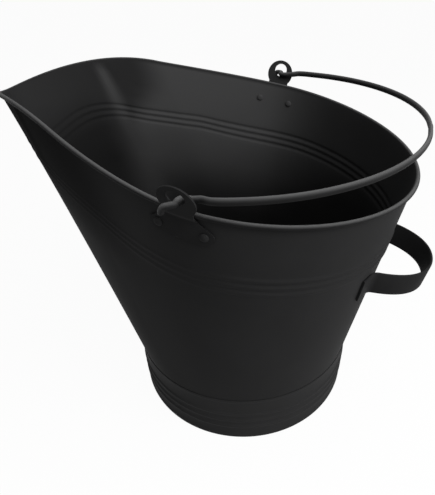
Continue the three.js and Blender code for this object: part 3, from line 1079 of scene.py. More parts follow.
@dataclass
class PaintedLightAndShade:
    """Where painted light and painted shade lie on the body sheet, as distances along the rim and
    below it.
    """

    wall: Wall
    # Painted light high on the lining: where it ends towards the spout, and how it fades with
    # depth.
    light_fronts: tuple[float, float] = (368.0, 426.0)
    light_front_depths: tuple[float, float] = (15.0, 85.0)
    light_fade: float = 20.0
    light_rear: tuple[float, float] = (150.0, 250.0)
    light_depths: tuple[float, float] = (20.0, 190.0)
    # Where round the rolled edge the painted highlight lies, and how far it spreads.
    highlight_angle: float = math.radians(95)
    highlight_reach: float = math.radians(85)
    # Painted shade in the spout's throat and deep in the bucket.
    throat_shade_run: float = 30.0
    throat_shade_depths: tuple[float, float] = (15.0, 85.0)
    shade_turn: tuple[float, float] = (80.0, 300.0)
    shade_starts: tuple[float, float] = (35.0, 90.0)
    shade_ends: tuple[float, float] = (85.0, 190.0)
    # Painted shade on the outer flank under the lip, strongest near the top.
    flank_shade: tuple[float, float] = (270.0, 350.0)
    flank_shade_depths: tuple[float, float] = (20.0, 120.0)
    flank_shade_loss: float = 0.9

    def rolled(self, angles: np.ndarray) -> np.ndarray:
        """How strong the painted highlight along the top of the rolled edge is at angles round its
        wire.

        Args:
            angles: The angles, from straight out.

        Returns:
            Shares from 0 to 1.
        """
        return hump(angles, self.highlight_angle, self.highlight_reach)

    def pale(self, frames: WallFrames, below: np.ndarray) -> np.ndarray:
        """How pale the lining is: painted light high on the lining from the rear to the spout, and
        a painted highlight along the crease.

        Args:
            frames: Rows of the wall.
            below: The distance below the wall's top, one each.

        Returns:
            Shares from 0 to 1.
        """
        # Painted light: paler high up on the lining, fading with depth below the rim.
        edge = mix(*self.light_fronts, smooth(*self.light_front_depths, below))
        front = 1.0 - smooth(edge - self.light_fade, edge + self.light_fade, frames.distance)
        high = 1.0 - smooth(*self.light_depths, below)
        lit_share = front * smooth(*self.light_rear, frames.distance) * high
        # The crease's own share is reused as a painted highlight along the crease.
        return np.maximum(lit_share, self.wall.crease(frames, below))

    def shade_inside(self, frames: WallFrames, below: np.ndarray) -> np.ndarray:
        """How much painted shade the lining has: darker deep in the bucket and in the spout's
        throat.

        Args:
            frames: Rows of the wall.
            below: The distance below the wall's top, one each.

        Returns:
            Shares from 0 to 1.
        """
        distance = frames.distance
        crease = self.wall.crease_line(frames, below)
        beyond = smooth(crease, crease + self.throat_shade_run, distance)
        before = 1.0 - smooth(crease - self.throat_shade_run, crease, distance)
        forward = smooth(*self.shade_turn, distance)
        starts, ends = mix(*self.shade_starts, forward), mix(*self.shade_ends, forward)
        throat_shade = beyond * smooth(*self.throat_shade_depths, below)
        return np.maximum(throat_shade, before * smooth(starts, ends, below))

    def shade_outside(self, frames: WallFrames, below: np.ndarray) -> np.ndarray:
        """How much painted shade the outer face has: only along the flank under the lip.

        Args:
            frames: Rows of the wall.
            below: The distance below the wall's top, one each.

        Returns:
            Shares from 0 to 1.
        """
        flank = smooth(*self.flank_shade, frames.distance)
        return flank * (1.0 - self.flank_shade_loss * smooth(*self.flank_shade_depths, below))


@dataclass
class BodySheet:
    """The one sheet of the wall: outer face, rolled edge, inner face and stepped neck."""

    wall: Wall
    light_and_shade: PaintedLightAndShade
    half_steps: int = 150
    roll_steps: int = 18
    bead_steps: int = 10
    upper_shares: tuple[float, ...] = (0.06, 0.25, 0.5, 0.75, 0.94)
    lower_shares: tuple[float, ...] = (0.03, 0.2, 0.4, 0.6, 0.8, 0.97)

    SURFACES = (Surface.WALL, Surface.RIM, Surface.LINING)

    def _rows(self, frames: WallFrames) -> list[np.ndarray]:
        """Distances below the top at which the wall has a row of corners.

        Args:
            frames: Rows of the wall.

        Returns:
            One array of distances for each row, from the top down.
        """
        wall = self.wall
        band = wall.bead_pitch * wall.bead_count
        first = frames.bead - band / 2
        last = first + band
        bead_rows = np.linspace(0.0, band, wall.bead_count * self.bead_steps + 1)
        rows = [first * share for share in self.upper_shares]
        rows += [first + down for down in bead_rows]
        rows += [mix(last, frames.length, share) for share in self.lower_shares]
        return rows

    def loops(self) -> tuple[np.ndarray, list[int], dict[str, np.ndarray]]:
        """Every slice through the sheet, all the way round.

        Returns:
            An array of loops of points, the number in SURFACES of the face after each point of a
            loop, and the shares of painted light and painted shade at each point.
        """
        wall, light_and_shade = self.wall, self.light_and_shade
        frames = wall.frames(np.linspace(0.0, wall.rim.length, self.half_steps))
        rows = self._rows(frames)
        half = wall.sheet / 2
        roll_outside = wall.roll_outside - wall.roll_trim
        angles = np.linspace(math.pi, wall.roll_end, self.roll_steps)
        turn_radius = wall.neck_radius - wall.neck_turn
        inner_radius = wall.neck_radius - wall.sheet
        inner_bottom = wall.neck_bottom + wall.sheet
        below_outer = [
            wall.circle(frames.angle, turn_radius, wall.neck_bottom),
            wall.circle(frames.angle, wall.neck_radius, wall.neck_bottom),
            wall.circle(frames.angle, wall.neck_radius, wall.ledge_height),
            wall.point(frames, frames.length, half),
        ]
        columns = [
            *below_outer,
            *[wall.point(frames, row, half) for row in reversed(rows)],
            *[wall.roll(frames, angle, wall.roll_inside) for angle in angles],
            *[wall.roll(frames, angle, roll_outside) for angle in reversed(angles)],
            *[wall.point(frames, row, -half) for row in rows],
            wall.point(frames, frames.length - wall.sheet, -half),
            wall.circle(frames.angle, inner_radius, wall.ledge_height + wall.sheet),
            wall.circle(frames.angle, inner_radius, inner_bottom),
            wall.circle(frames.angle, turn_radius, inner_bottom),
        ]
        near = np.stack(columns, axis=1)
        outer = slice(len(below_outer), len(below_outer) + len(rows))
        rolled = slice(outer.stop + len(angles), outer.stop + 2 * len(angles))
        inner = slice(rolled.stop, rolled.stop + len(rows))
        wall_face, rim_face, lining_face = range(len(self.SURFACES))
        kinds = [wall_face] * rolled.start + [rim_face] * (len(angles) - 1)
        kinds += [lining_face] * (near.shape[1] - len(kinds))
        pale, painted_shade = np.zeros(near.shape[:2]), np.zeros(near.shape[:2])
        # Painted highlight along the top of the rolled edge.
        pale[:, rolled] = light_and_shade.rolled(angles[::-1])
        # Painted light and painted shade on the lining, and painted shade on the outer flank.
        for shares, columns_of, share_at, order in (
                (pale, inner, light_and_shade.pale, rows),
                (painted_shade, inner, light_and_shade.shade_inside, rows),
                (painted_shade, outer, light_and_shade.shade_outside, rows[::-1])):
            shares[:, columns_of] = np.stack([share_at(frames, row) for row in order], axis=1)
        painted_shade[:, inner.stop:] = painted_shade[:, inner.stop - 1:inner.stop]
        loops = self._mirrored(near, np.array([-1.0, 1.0, 1.0]))
        named = {PaintEffects.PAINTED_LIGHT: pale, PaintEffects.PAINTED_SHADE: painted_shade}
        return loops, kinds, {name: self._mirrored(shares) for name, shares in named.items()}

    @staticmethod
    def _mirrored(near: np.ndarray, flip: np.ndarray | float = 1.0) -> np.ndarray:
        """The rows of one half followed by those of the other half.

        Args:
            near: One half's rows, from the middle of the rear to the middle of the lip.
            flip: What the other half's values are multiplied by.

        Returns:
            The rows all the way round.
        """
        return np.concatenate([near, near[1:-1][::-1] * flip])

    def build(self, maker: MeshMaker, paints: Paints) -> bpy.types.Object:
        """Makes and dresses the sheet.

        Args:
            maker: Makes the mesh.
            paints: Holds the materials.

        Returns:
            The new object.
        """
        loops, kinds, shares = self.loops()
        piece = maker.ring("body_sheet_skin", loops, kinds)
        for share_name, values in shares.items():
            add_shares(piece, share_name, values)
        paints.dress(piece, *self.SURFACES)
        return piece


@dataclass
class FootRing:
    """The beaded band that the scuttle stands on."""

    wall: Wall
    bead_heights: tuple[float, ...] = (38.5, 28.5, 18.5)
    bead_width: float = 6.5
    bead_rise: float = 1.1
    bead_points: int = 13
    lip_depth: float = 5.0
    lip_rise: float = 0.8
    lip_points: int = 9
    hem_height: float = 6.0
    hem_rise: float = 0.7
    hem_width: float = 2.6
    hem_tuck: float = 0.15
    hem_shares: tuple[float, ...] = (0.83, 0.67, 0.5, 0.33, 0.17, 0.05)
    hem_floor_share: float = 0.6
    hem_corner: tuple[float, float] = (0.4, 0.5)
    steps: int = 192

    def press(self, height: float) -> float:
        """How far the sheet stands out from a plain cylinder.

        Args:
            height: The height above the floor.

        Returns:
            The rise there.
        """
        top = self.wall.foot_height
        lip = top - self.lip_depth
        if height > lip:
            return self.lip_rise * float(smooth(lip, top - self.lip_depth / 2, height))
        if height < self.hem_height:
            round_the_hem = mix(self.hem_tuck, 1.0, height / self.hem_height)
            return self.hem_rise * math.sin(math.pi * round_the_hem)
        for centre in self.bead_heights:
            turns = (height - centre) / self.bead_width
            if abs(turns) < 0.5:
                return self.bead_rise * math.cos(math.pi * turns) ** 2
        return 0.0

    def profile(self) -> list[tuple[float, float]]:
        """The ring's section as pairs of radius and height.

        Returns:
            The closed section, outer face first.
        """
        radius = self.wall.foot_radius
        sheet = self.wall.foot_sheet
        top = self.wall.foot_height
        half = self.bead_width / 2
        heights = list(np.linspace(top, top - self.lip_depth, self.lip_points))
        for centre in self.bead_heights:
            heights += list(np.linspace(centre + half, centre - half, self.bead_points))
        heights.append(self.hem_height)
        low = [self.hem_height * share for share in self.hem_shares]
        outer = [(radius + self.press(height), height) for height in heights + low]
        inner = [(radius - sheet + self.press(height), height) for height in reversed(heights)]
        hem_inside = radius - self.hem_width
        corner_in, corner_up = self.hem_corner
        foot = [
            (radius + self.press(0.0) * self.hem_floor_share, 0.0),
            (hem_inside + corner_in, 0.0),
            (hem_inside, corner_up),
            (hem_inside, self.hem_height - sheet),
        ]
        return outer + foot + inner

    def build(self, maker: MeshMaker, paints: Paints) -> bpy.types.Object:
        """Makes and dresses the ring.

        Args:
            maker: Makes the mesh.
            paints: Holds the materials.

        Returns:
            The new object.
        """
        piece = maker.turned("foot_ring_band", self.profile(), self.steps)
        paints.dress(piece, Surface.FOOT)
        return piece


@dataclass
class BottomPan:
    """The pan that closes the bottom, held in the neck."""

    wall: Wall
    sheet: float = 0.8
    corner: float = 2.5
    flange: float = 9.0
    # A dark share over the whole pan, laid as painted shade at the bottom of the bucket.
    painted_shade: float = 0.9
    corner_steps: int = 6
    steps: int = 128

    def build(self, maker: MeshMaker, paints: Paints) -> bpy.types.Object:
        """Makes and dresses the pan.

        Args:
            maker: Makes the mesh.
            paints: Holds the materials.

        Returns:
            The new object.
        """
        wall = self.wall
        radius = wall.neck_radius - wall.sheet - wall.nest
        low = wall.neck_bottom + wall.sheet + wall.seat
        high = low + self.flange + self.corner
        turns = np.linspace(math.pi / 2, 0.0, self.corner_steps)
        rounded, hollow = (
            [(radius - self.corner + size * math.cos(turn),
              high - self.corner + size * math.sin(turn)) for turn in turns]
            for size in (self.corner, self.corner - self.sheet)
        )
        profile = [(0.0, high), *rounded, (radius, low), (radius - self.sheet, low),
                   *reversed(hollow), (0.0, high - self.sheet)]
        piece = maker.turned("bottom_pan_disc", profile, self.steps)
        # Painted shade over the whole pan.
        add_shares(piece, PaintEffects.PAINTED_SHADE, np.full(len(piece.data.vertices), self.painted_shade))
        paints.dress(piece, Surface.LINING)
        return piece


# ------------------------------------------------------------------------------- ears and rivets


class Side(Enum):
    """The scuttle's two sides, by the sign of X there."""

    RIGHT = 1
    LEFT = -1

    @property
    def mirror(self) -> np.ndarray:
        """What a point of the +X side is multiplied by to lie on this side."""
        return np.array([self.value, 1.0, 1.0])


class End(Enum):
    """The two rivets of an ear, by the sign of their distance along the rim from its middle."""

    FRONT = 1
    REAR = -1


@dataclass
class Ear:
    """The bent plate on each side that carries the bail, measured up from the rim wire's level."""

    wall: Wall
    sheet: float = 1.2
    rim_y: float = 0.7
    head_radius: float = 13.1
    head_rise: float = 11.3
    hole_radius: float = 6.2
    hole_offset: float = 3.6
    neck_half_width: float = 10.2
    lean: float = 0.26
    bend: float = 6.0
    rivet_spread: float = 16.3
    rivet_drop: float = 16.0
    rivet_boss: float = 7.0
    edge_radius: float = 0.25
    slope_step: float = 0.05
    columns: int = 20
    boss_points: int = 9
    plate_points: int = 19
    head_points: int = 49
    ring_shares: tuple[float, ...] = (0.5, 1.0)
    station: float = field(init=False)
    centre: WallFrames = field(init=False)

    def __post_init__(self) -> None:
        """Finds where the ear stands along the rim."""
        self.station = self.wall.rim.distance_at_y(self.rim_y)
        self.centre = self.wall.frames(self.station)

    def bend_point(self, rise: float) -> tuple[float, float]:
        """The ear's side view at a distance along its length.

        Args:
            rise: The distance up the plate from the level of the rim wire.

        Returns:
            How far out and how far up the middle of the plate is there.
        """
        on_wall = -self.wall.roll_inside + self.wall.seat + self.sheet / 2
        on_roll = self.wall.roll_outside + self.wall.seat + self.sheet / 2
        if rise >= 0:
            return on_roll + rise * math.sin(self.lean), rise * math.cos(self.lean)
        return float(mix(on_wall, on_roll, smooth(-self.bend, 0.0, rise))), rise

    def place(self, along: float, rise: float, depth: float) -> np.ndarray:
        """A point of the ear on the +X side.

        Args:
            along: The distance along the rim from the ear's middle.
            rise: The distance up the plate.
            depth: The distance out from the middle of the sheet.

        Returns:
            The point, in millimetres from the foot.
        """
        out, up = self.bend_point(rise)
        next_out, next_up = self.bend_point(rise + self.slope_step)
        slope = math.atan2(next_out - out, next_up - up)
        out += depth * math.cos(slope)
        up -= depth * math.sin(slope)
        local = self.wall.frames(self.station + along)
        follow = local.wire[0] + local.square[0] * up + local.out[0] * out
        mid = self.centre
        flat = mid.wire[0] + mid.along[0] * along + mid.square[0] * up + mid.out[0] * out
        return mix(follow, flat, float(smooth(-self.bend, 0.0, rise)))

    def half_width(self, rise: float) -> float:
        """Half the plate's width below the rim: a boss round each rivet, drawn in to the neck.

        Args:
            rise: The distance up the plate, below zero.

        Returns:
            The half width there.
        """
        from_rivet = rise + self.rivet_drop
        if from_rivet <= 0:
            return self.rivet_spread + math.sqrt(max(self.rivet_boss**2 - from_rivet**2, 0.0))
        share = float(smooth(0.0, self.rivet_drop - self.bend / 2, from_rivet))
        return float(mix(self.rivet_spread + self.rivet_boss, self.neck_half_width, share))

    def _plate(self) -> tuple[list[tuple[float, float]], list[tuple[int, ...]]]:
        """The flat plate below the level of the rim wire, as a grid.

        Returns:
            The corners as pairs of along and rise, and the faces as tuples of corner numbers.
        """
        turns = np.linspace(math.pi / 2, 0.0, self.boss_points)
        rises = [-self.rivet_drop - self.rivet_boss * math.sin(turn) for turn in turns]
        rises += list(np.linspace(-self.rivet_drop, 0.0, self.plate_points))[1:]
        width = self.columns + 1
        corners = []
        for rise in rises:
            half = self.half_width(rise)
            corners += [(mix(-half, half, j / self.columns), rise) for j in range(width)]
        faces = []
        for i in range(len(rises) - 1):
            for j in range(self.columns):
                here = i * width + j
                faces.append((here, here + 1, here + 1 + width, here + width))
        return corners, faces

    def _outline(self) -> tuple[list[tuple[float, float]], list[tuple[int, ...]]]:
        """The whole flat plate: the grid, and above it rings of faces round the hole.

        Returns:
            The corners as pairs of along and rise, and the faces as tuples of corner numbers.
        """
        corners, faces = self._plate()
        edge = list(range(len(corners) - self.columns - 1, len(corners)))
        neck_angle = math.acos(self.neck_half_width / self.head_radius)
        for angle in np.linspace(-neck_angle, math.pi + neck_angle, self.head_points):
            edge.append(len(corners))
            corners.append((self.head_radius * math.cos(angle),
                            self.head_rise + self.head_radius * math.sin(angle)))
        hole_rise = self.head_rise + self.hole_offset
        rings = [edge]
        for share in self.ring_shares:
            ring = []
            for number in edge:
                x, rise = corners[number]
                angle = math.atan2(rise - hole_rise, x)
                hole_x = self.hole_radius * math.cos(angle)
                hole_y = hole_rise + self.hole_radius * math.sin(angle)
                ring.append(len(corners))
                corners.append((mix(x, hole_x, share), mix(rise, hole_y, share)))
            rings.append(ring)
        for outer, inner in zip(rings, rings[1:]):
            for i in range(len(outer)):
                j = (i + 1) % len(outer)
                faces.append((outer[i], outer[j], inner[j], inner[i]))
        return corners, faces

    def build(self, maker: MeshMaker, paints: Paints, side: Side, name: str) -> bpy.types.Object:
        """Makes and dresses one ear.

        Args:
            maker: Makes the mesh.
            paints: Holds the materials.
            side: The side that the ear is on.
            name: The new object's name.

        Returns:
            The new object.
        """
        corners, faces = self._outline()
        points = [self.place(along, rise, depth) * side.mirror
                  for depth in (self.sheet / 2, -self.sheet / 2) for along, rise in corners]
        count = len(corners)
        solid = list(faces) + [tuple(count + i for i in reversed(face)) for face in faces]
        edges = {(face[i], face[(i + 1) % len(face)]) for face in faces for i in range(len(face))}
        for start, end in edges:
            if (end, start) not in edges:
                solid.append((end, start, count + start, count + end))
        piece = maker.mesh(name, np.array(points), solid)
        round_edges(piece, self.edge_radius)
        paints.dress(piece, Surface.FITTINGS)
        return piece


@dataclass
class Rivet:
    """A round-headed rivet through the ear and the wall, closed over inside."""

    ear: Ear
    radius: float = 1.9
    head_radius: float = 3.3
    head_rise: float = 1.9
    tail_radius: float = 3.2
    tail_rise: float = 1.2
    # The inner head gets the lining's pale colour as painted light.
    tail_lit_share: float = 0.75
    dome_steps: int = 7
    steps: int = 28

    def _dome(self, radius: float, seat: float, rise: float) -> list[tuple[float, float]]:
        """A domed head's section, from the middle of its top out to its edge.

        Args:
            radius: The head's radius.
            seat: The height of its flat side.
            rise: How far it stands beyond the seat, below zero for the inner head.

        Returns:
            Pairs of radius and height.
        """
        turns = np.linspace(math.pi / 2, 0.0, self.dome_steps)
        return [(max(radius * math.cos(turn), 0.0) if i else 0.0, seat + rise * math.sin(turn))
                for i, turn in enumerate(turns)]

    def build(self, maker: MeshMaker, paints: Paints, side: Side, end: End,
              name: str) -> bpy.types.Object:
        """Makes and dresses one rivet.

        Args:
            maker: Makes the mesh.
            paints: Holds the materials.
            side: The side that its ear is on.
            end: The end of the ear that it holds.
            name: The new object's name.

        Returns:
            The new object.
        """
        ear = self.ear
        along = end.value * ear.rivet_spread
        centre = ear.place(along, -ear.rivet_drop, 0.0) * side.mirror
        axis = ear.wall.frames(ear.station + along).out[0] * side.mirror
        head_seat = ear.sheet / 2 + ear.wall.seat
        tail_seat = -ear.sheet / 2 - ear.wall.seat - ear.wall.sheet - ear.wall.seat
        head = self._dome(self.head_radius, head_seat, self.head_rise)
        tail = self._dome(self.tail_radius, tail_seat, -self.tail_rise)
        profile = [*head, (self.radius, head_seat), (self.radius, tail_seat), *reversed(tail)]
        turn = Vector((0, 0, 1)).rotation_difference(Vector(axis)).to_matrix().to_4x4()
        piece = maker.turned(name, profile, self.steps, Matrix.Translation(Vector(centre)) @ turn)
        # Painted light on the inner head, as on the lining round it.
        lit_share = [0.0] * (len(head) + 1) + [self.tail_lit_share] * (1 + len(tail))
        corners = [self.steps if radius else 1 for radius, _ in profile]
        add_shares(piece, PaintEffects.PAINTED_LIGHT, np.repeat(lit_share, corners))
        paints.dress(piece, Surface.LINING)
        return piece


# ------------------------------------------------------------------------------- bail and handle


@dataclass(frozen=True)
class Pivot:
    """The line that the bail turns about, and the ear's plate where the line passes through it."""

    y: float
    z: float
    plate: float
    half_sheet: float


@dataclass
class Bail:
    """The swinging handle: flattened wire, hooked out through the ears' holes."""

    ear: Ear
    reach: float = 147.3
    tall: float = 5.3
    thick: float = 3.5
    end_radius: float = 2.2
    rest: float = math.radians(2.3)
    rise: float = 0.8
    sweep_end: float = 0.14
    swell: float = 3.1
    neck_run: float = 14.0
    neck_bend: float = 3.6
    ear_gap: float = 1.4
    round_run: float = 4.0
    flat_run: float = 16.0
    hook_out: float = 4.5
    hook_run: float = 7.6
    hook_drop: float = 5.6
    hook_bends: tuple[tuple[float, float, float], ...] = (
        (0.48, 0.34, 0.0), (0.83, 0.76, 0.11), (0.96, 0.97, 0.57), (1.0, 1.0, 1.0))
    tip_round: float = 1.6
    # Where round the wire the painted highlight along its top lies, and how far it spreads.
    highlight_angle: float = math.radians(90)
    highlight_reach: float = math.radians(95)
    sides: int = 20
    sweep_points: int = 11
    spline_steps: int = 8
    shortest_gap: float = 1e-4
    least_tip: float = 0.02

    def _pivot(self) -> Pivot:
        """Finds the line the bail turns about, low in the ear's hole.

        Returns:
            The line, with the ear's plate there.
        """
        ear = self.ear
        centre = ear.place(0.0, ear.head_rise + ear.hole_offset, 0.0)
        mid = ear.centre
        face = unit(mid.out[0] * math.cos(ear.lean) - mid.square[0] * math.sin(ear.lean))
        drop = ear.hole_radius * math.sqrt(1 - face[2] ** 2) - ear.sheet / 2 * abs(face[2])
        height = centre[2] - drop + self.end_radius + ear.wall.seat
        plate_x = centre[0] - (centre[2] - height) * abs(face[2]) / face[0]
        return Pivot(centre[1], height, plate_x, ear.sheet / 2 / face[0])

    def _half(self, pivot: Pivot) -> list[Vector]:
        """Half of the centre line, from its middle to the hook's tip, in the bail's own plane.

        Args:
            pivot: The line the bail turns about.

        Returns:
            The points that the smooth line passes through.
        """
        neck = pivot.plate - pivot.half_sheet - self.end_radius - self.ear_gap
        outside = pivot.plate + pivot.half_sheet + self.end_radius + self.ear.wall.seat
        half_width = neck + self.swell
        points = []
        for angle in np.linspace(math.pi / 2, self.sweep_end, self.sweep_points):
            x, y = half_width * math.cos(angle), self.reach * math.sin(angle)
            points.append(Vector((x, y, self.rise)))
        points.append(Vector((neck, self.neck_run, self.rise / 2)))
        points.append(Vector((neck, (self.neck_run + self.neck_bend) / 2, 0.0)))
        for angle in (0.0, math.pi / 4, math.pi / 2):
            x = neck + self.neck_bend * (1 - math.cos(angle))
            points.append(Vector((x, self.neck_bend * (1 - math.sin(angle)), 0.0)))
        points.append(Vector((outside, 0.0, 0.0)))
        for out, run, drop in self.hook_bends:
            x = outside + out * self.hook_out
            points.append(Vector((x, -run * self.hook_run, -drop * self.hook_drop)))
        return points

    def _smooth_line(self, points: list[Vector]) -> list[Vector]:
        """A centripetal spline through points.

        Args:
            points: The points it passes through.

        Returns:
            The points along it.
        """
        first = points[0] * 2 - points[1]
        last = points[-1] * 2 - points[-2]
        given = [first, *points, last]
        line = [points[0].copy()]
        for i in range(1, len(given) - 2):
            p0, p1, p2, p3 = given[i - 1:i + 3]
            before, here, after = (max((b - a).length ** 0.5, self.shortest_gap)
                                   for a, b in ((p0, p1), (p1, p2), (p2, p3)))
            chord = (p2 - p1) / here
            m1 = ((p1 - p0) / before - (p2 - p0) / (before + here) + chord) * here
            m2 = (chord - (p3 - p1) / (here + after) + (p3 - p2) / after) * here
            for k in range(1, self.spline_steps + 1):
                t = k / self.spline_steps
                line.append(p1 * (2 * t**3 - 3 * t**2 + 1) + m1 * (t**3 - 2 * t**2 + t)
                            + p2 * (3 * t**2 - 2 * t**3) + m2 * (t**3 - t**2))
        return line

    @staticmethod
    def _directions(path: list[Vector]) -> tuple[list[Vector], list[Vector]]:
        """Which way a line runs at each point, and a side of it that never twists.

        Args:
            path: The line's points.

        Returns:
            The tangents and the normals, one of each for each point.
        """
        end = len(path) - 1
        tangents = [(path[min(i + 1, end)] - path[max(i - 1, 0)]).normalized()
                    for i in range(len(path))]
        normals = [Vector((0, 0, 1))] * len(path)
        for step in (1, -1):
            i = len(path) // 2 + step
            while 0 <= i < len(path):
                turn = tangents[i - step].rotation_difference(tangents[i])
                normals[i] = turn @ normals[i - step]
                i += step
        return tangents, normals

    def _loops(self) -> np.ndarray:
        """Sections of the wire from one hook's tip to the other, with rounded tips.

        Returns:
            An array of loops of points in the foot's frame.
        """
        pivot = self._pivot()
        half = self._smooth_line(self._half(pivot))
        path = [Vector((-p.x, p.y, p.z)) for p in reversed(half[1:])] + half
        turn = Matrix.Translation((0, pivot.y, pivot.z)) @ Matrix.Rotation(self.rest, 4, "X")
        loops = []
        for point, tangent, normal in zip(path, *self._directions(path)):
            share = float(smooth(self.round_run, self.flat_run, point.y))
            drawn_in = self._tip_share(min((point - tip).length for tip in (path[0], path[-1])))
            tall = mix(self.end_radius, self.tall / 2, share) * drawn_in
            thick = mix(self.end_radius, self.thick / 2, share) * drawn_in
            across = tangent.cross(normal)
            loop = []
            for j in range(self.sides):
                angle = 2 * math.pi * j / self.sides
                up, out = tall * math.sin(angle), thick * math.cos(angle)
                loop.append(list(turn @ (point + normal * up + across * out)))
            loops.append(loop)
        return np.array(loops)

    def _tip_share(self, distance: float) -> float:
        """How full the wire's section is near a tip, which is domed.

        Args:
            distance: The distance from the nearer tip, in millimetres.

        Returns:
            The share of the full section.
        """
        if distance >= self.tip_round:
            return 1.0
        return math.sqrt(max(1 - (1 - distance / self.tip_round) ** 2, self.least_tip))

    def build(self, maker: MeshMaker, paints: Paints) -> bpy.types.Object:
        """Makes and dresses the bail.

        Args:
            maker: Makes the mesh.
            paints: Holds the materials.

        Returns:
            The new object.
        """
        loops = self._loops()
        piece = maker.bar("bail_wire", loops)
        # Painted highlight along the top of the wire.
        turns = np.arange(self.sides) * 2 * math.pi / self.sides
        painted_light = hump(turns, self.highlight_angle, self.highlight_reach)
        add_shares(piece, PaintEffects.PAINTED_LIGHT, np.tile(painted_light, len(loops)))
        paints.dress(piece, Surface.BAIL)
        return piece


@dataclass
class RearHandle:
    """The fixed strap loop at the back, used to tip the scuttle."""

    wall: Wall
    height: float = 177.3
    width: float = 22.9
    sheet: float = 2.0
    reach: float = 41.6
    half_span: float = 44.0
    tab_end: float = 60.0
    edge_radius: float = 0.7
    edge_steps: int = 3
    bend_run: float = 5.5
    bend_corner: float = 0.6
    bend_rise: float = 5.0
    leg_in: float = 5.0
    leg_share: float = 0.72
    turn_share: float = 0.61
    tab_points: int = 5
    bend_points: int = 13
    loop_points: int = 33
    wall_samples: int = 400

    def _wall_at(self, x: float) -> tuple[np.ndarray, np.ndarray, np.ndarray]:
        """The outer face of the rear wall at a place across, at the handle's height.

        Args:
            x: The place across, in millimetres.

        Returns:
            The point, and the directions out of and up the wall.
        """
        frames = self.wall.frames(np.linspace(0.0, self.wall.rim.ends[0], self.wall_samples))
        below = (frames.top[:, 2] - self.height) / frames.up[:, 2]
        points = self.wall.point(frames, below, self.wall.sheet / 2)
        mirror = np.array([-1.0 if x < 0 else 1.0, 1.0, 1.0])
        point, out, up = (
            np.array([np.interp(abs(x), points[:, 0], column) for column in values.T]) * mirror
            for values in (points, frames.out, frames.up)
        )
        return point, unit(out), unit(up)

    def _line(self) -> list[tuple[float, float]]:
        """The strap's line from above, as places across and distances off the wall.

        Returns:
            Points from one tab's end to the other's.
        """
        span, reach = self.half_span, self.reach
        bend_in = (span + self.bend_run, 0.0)
        bend_out = (span, self.bend_rise)
        leg = (span - self.leg_in, reach * self.leg_share)
        bend = (bend_in, (span + self.bend_corner, 0.0), bend_out)
        loop = (bend_out, leg, (span * self.turn_share, reach), (0.0, reach))
        half = [(mix(self.tab_end, bend_in[0], t), 0.0) for t in np.linspace(0, 1, self.tab_points)]
        for handles, count in ((bend, self.bend_points), (loop, self.loop_points)):
            half += [tuple(point) for point in bezier(handles, np.linspace(0, 1, count)[1:])]
        return half + [(-x, off) for x, off in reversed(half[:-1])]

    def _section(self) -> list[tuple[float, float]]:
        """The strap's section, with rounded edges.

        Returns:
            Pairs of distance across the strap and through it.
        """
        radius = self.edge_radius
        wide, deep = self.width / 2 - radius, self.sheet / 2 - radius
        centres = ((wide, deep), (-wide, deep), (-wide, -deep), (wide, -deep))
        corners = []
        for quarter, (x, y) in enumerate(centres):
            for k in range(self.edge_steps + 1):
                angle = (quarter + k / self.edge_steps) * math.pi / 2
                corners.append((x + radius * math.cos(angle), y + radius * math.sin(angle)))
        return corners

    def build(self, maker: MeshMaker, paints: Paints) -> bpy.types.Object:
        """Makes and dresses the strap.

        Args:
            maker: Makes the mesh.
            paints: Holds the materials.

        Returns:
            The new object.
        """
        rear_out = self._wall_at(0.0)[1]
        centre = []
        ups = []
        for x, off in self._line():
            point, out, up = self._wall_at(x)
            centre.append(point + out * (self.wall.seat + self.sheet / 2) + rear_out * off)
            ups.append(up)
        loops = []
        for i, (point, up) in enumerate(zip(centre, ups)):
            along = unit(centre[min(i + 1, len(centre) - 1)] - centre[max(i - 1, 0)])
            out = unit(np.cross(up, along))
            loops.append([point + up * wide + out * deep for wide, deep in self._section()])
        piece = maker.bar("rear_handle_strap", np.array(loops))
        paints.dress(piece, Surface.FITTINGS)
        return piece


# ------------------------------------------------------------------------------------ studio


@dataclass(frozen=True)
class Lamp:
    """A soft square lamp: its place and side in metres, and its power in watts."""

    name: str
    place: tuple[float, float, float]
    side: float
    power: float

    def build(self, target: Vector) -> None:
        """Hangs the lamp and aims it.

        Args:
            target: The place it shines at, in metres.
        """
        data = bpy.data.lights.new(self.name, "AREA")
        data.size = self.side
        data.energy = self.power
        lamp = add_object(self.name, data)
        lamp.location = self.place
        aim(lamp, target - Vector(self.place))


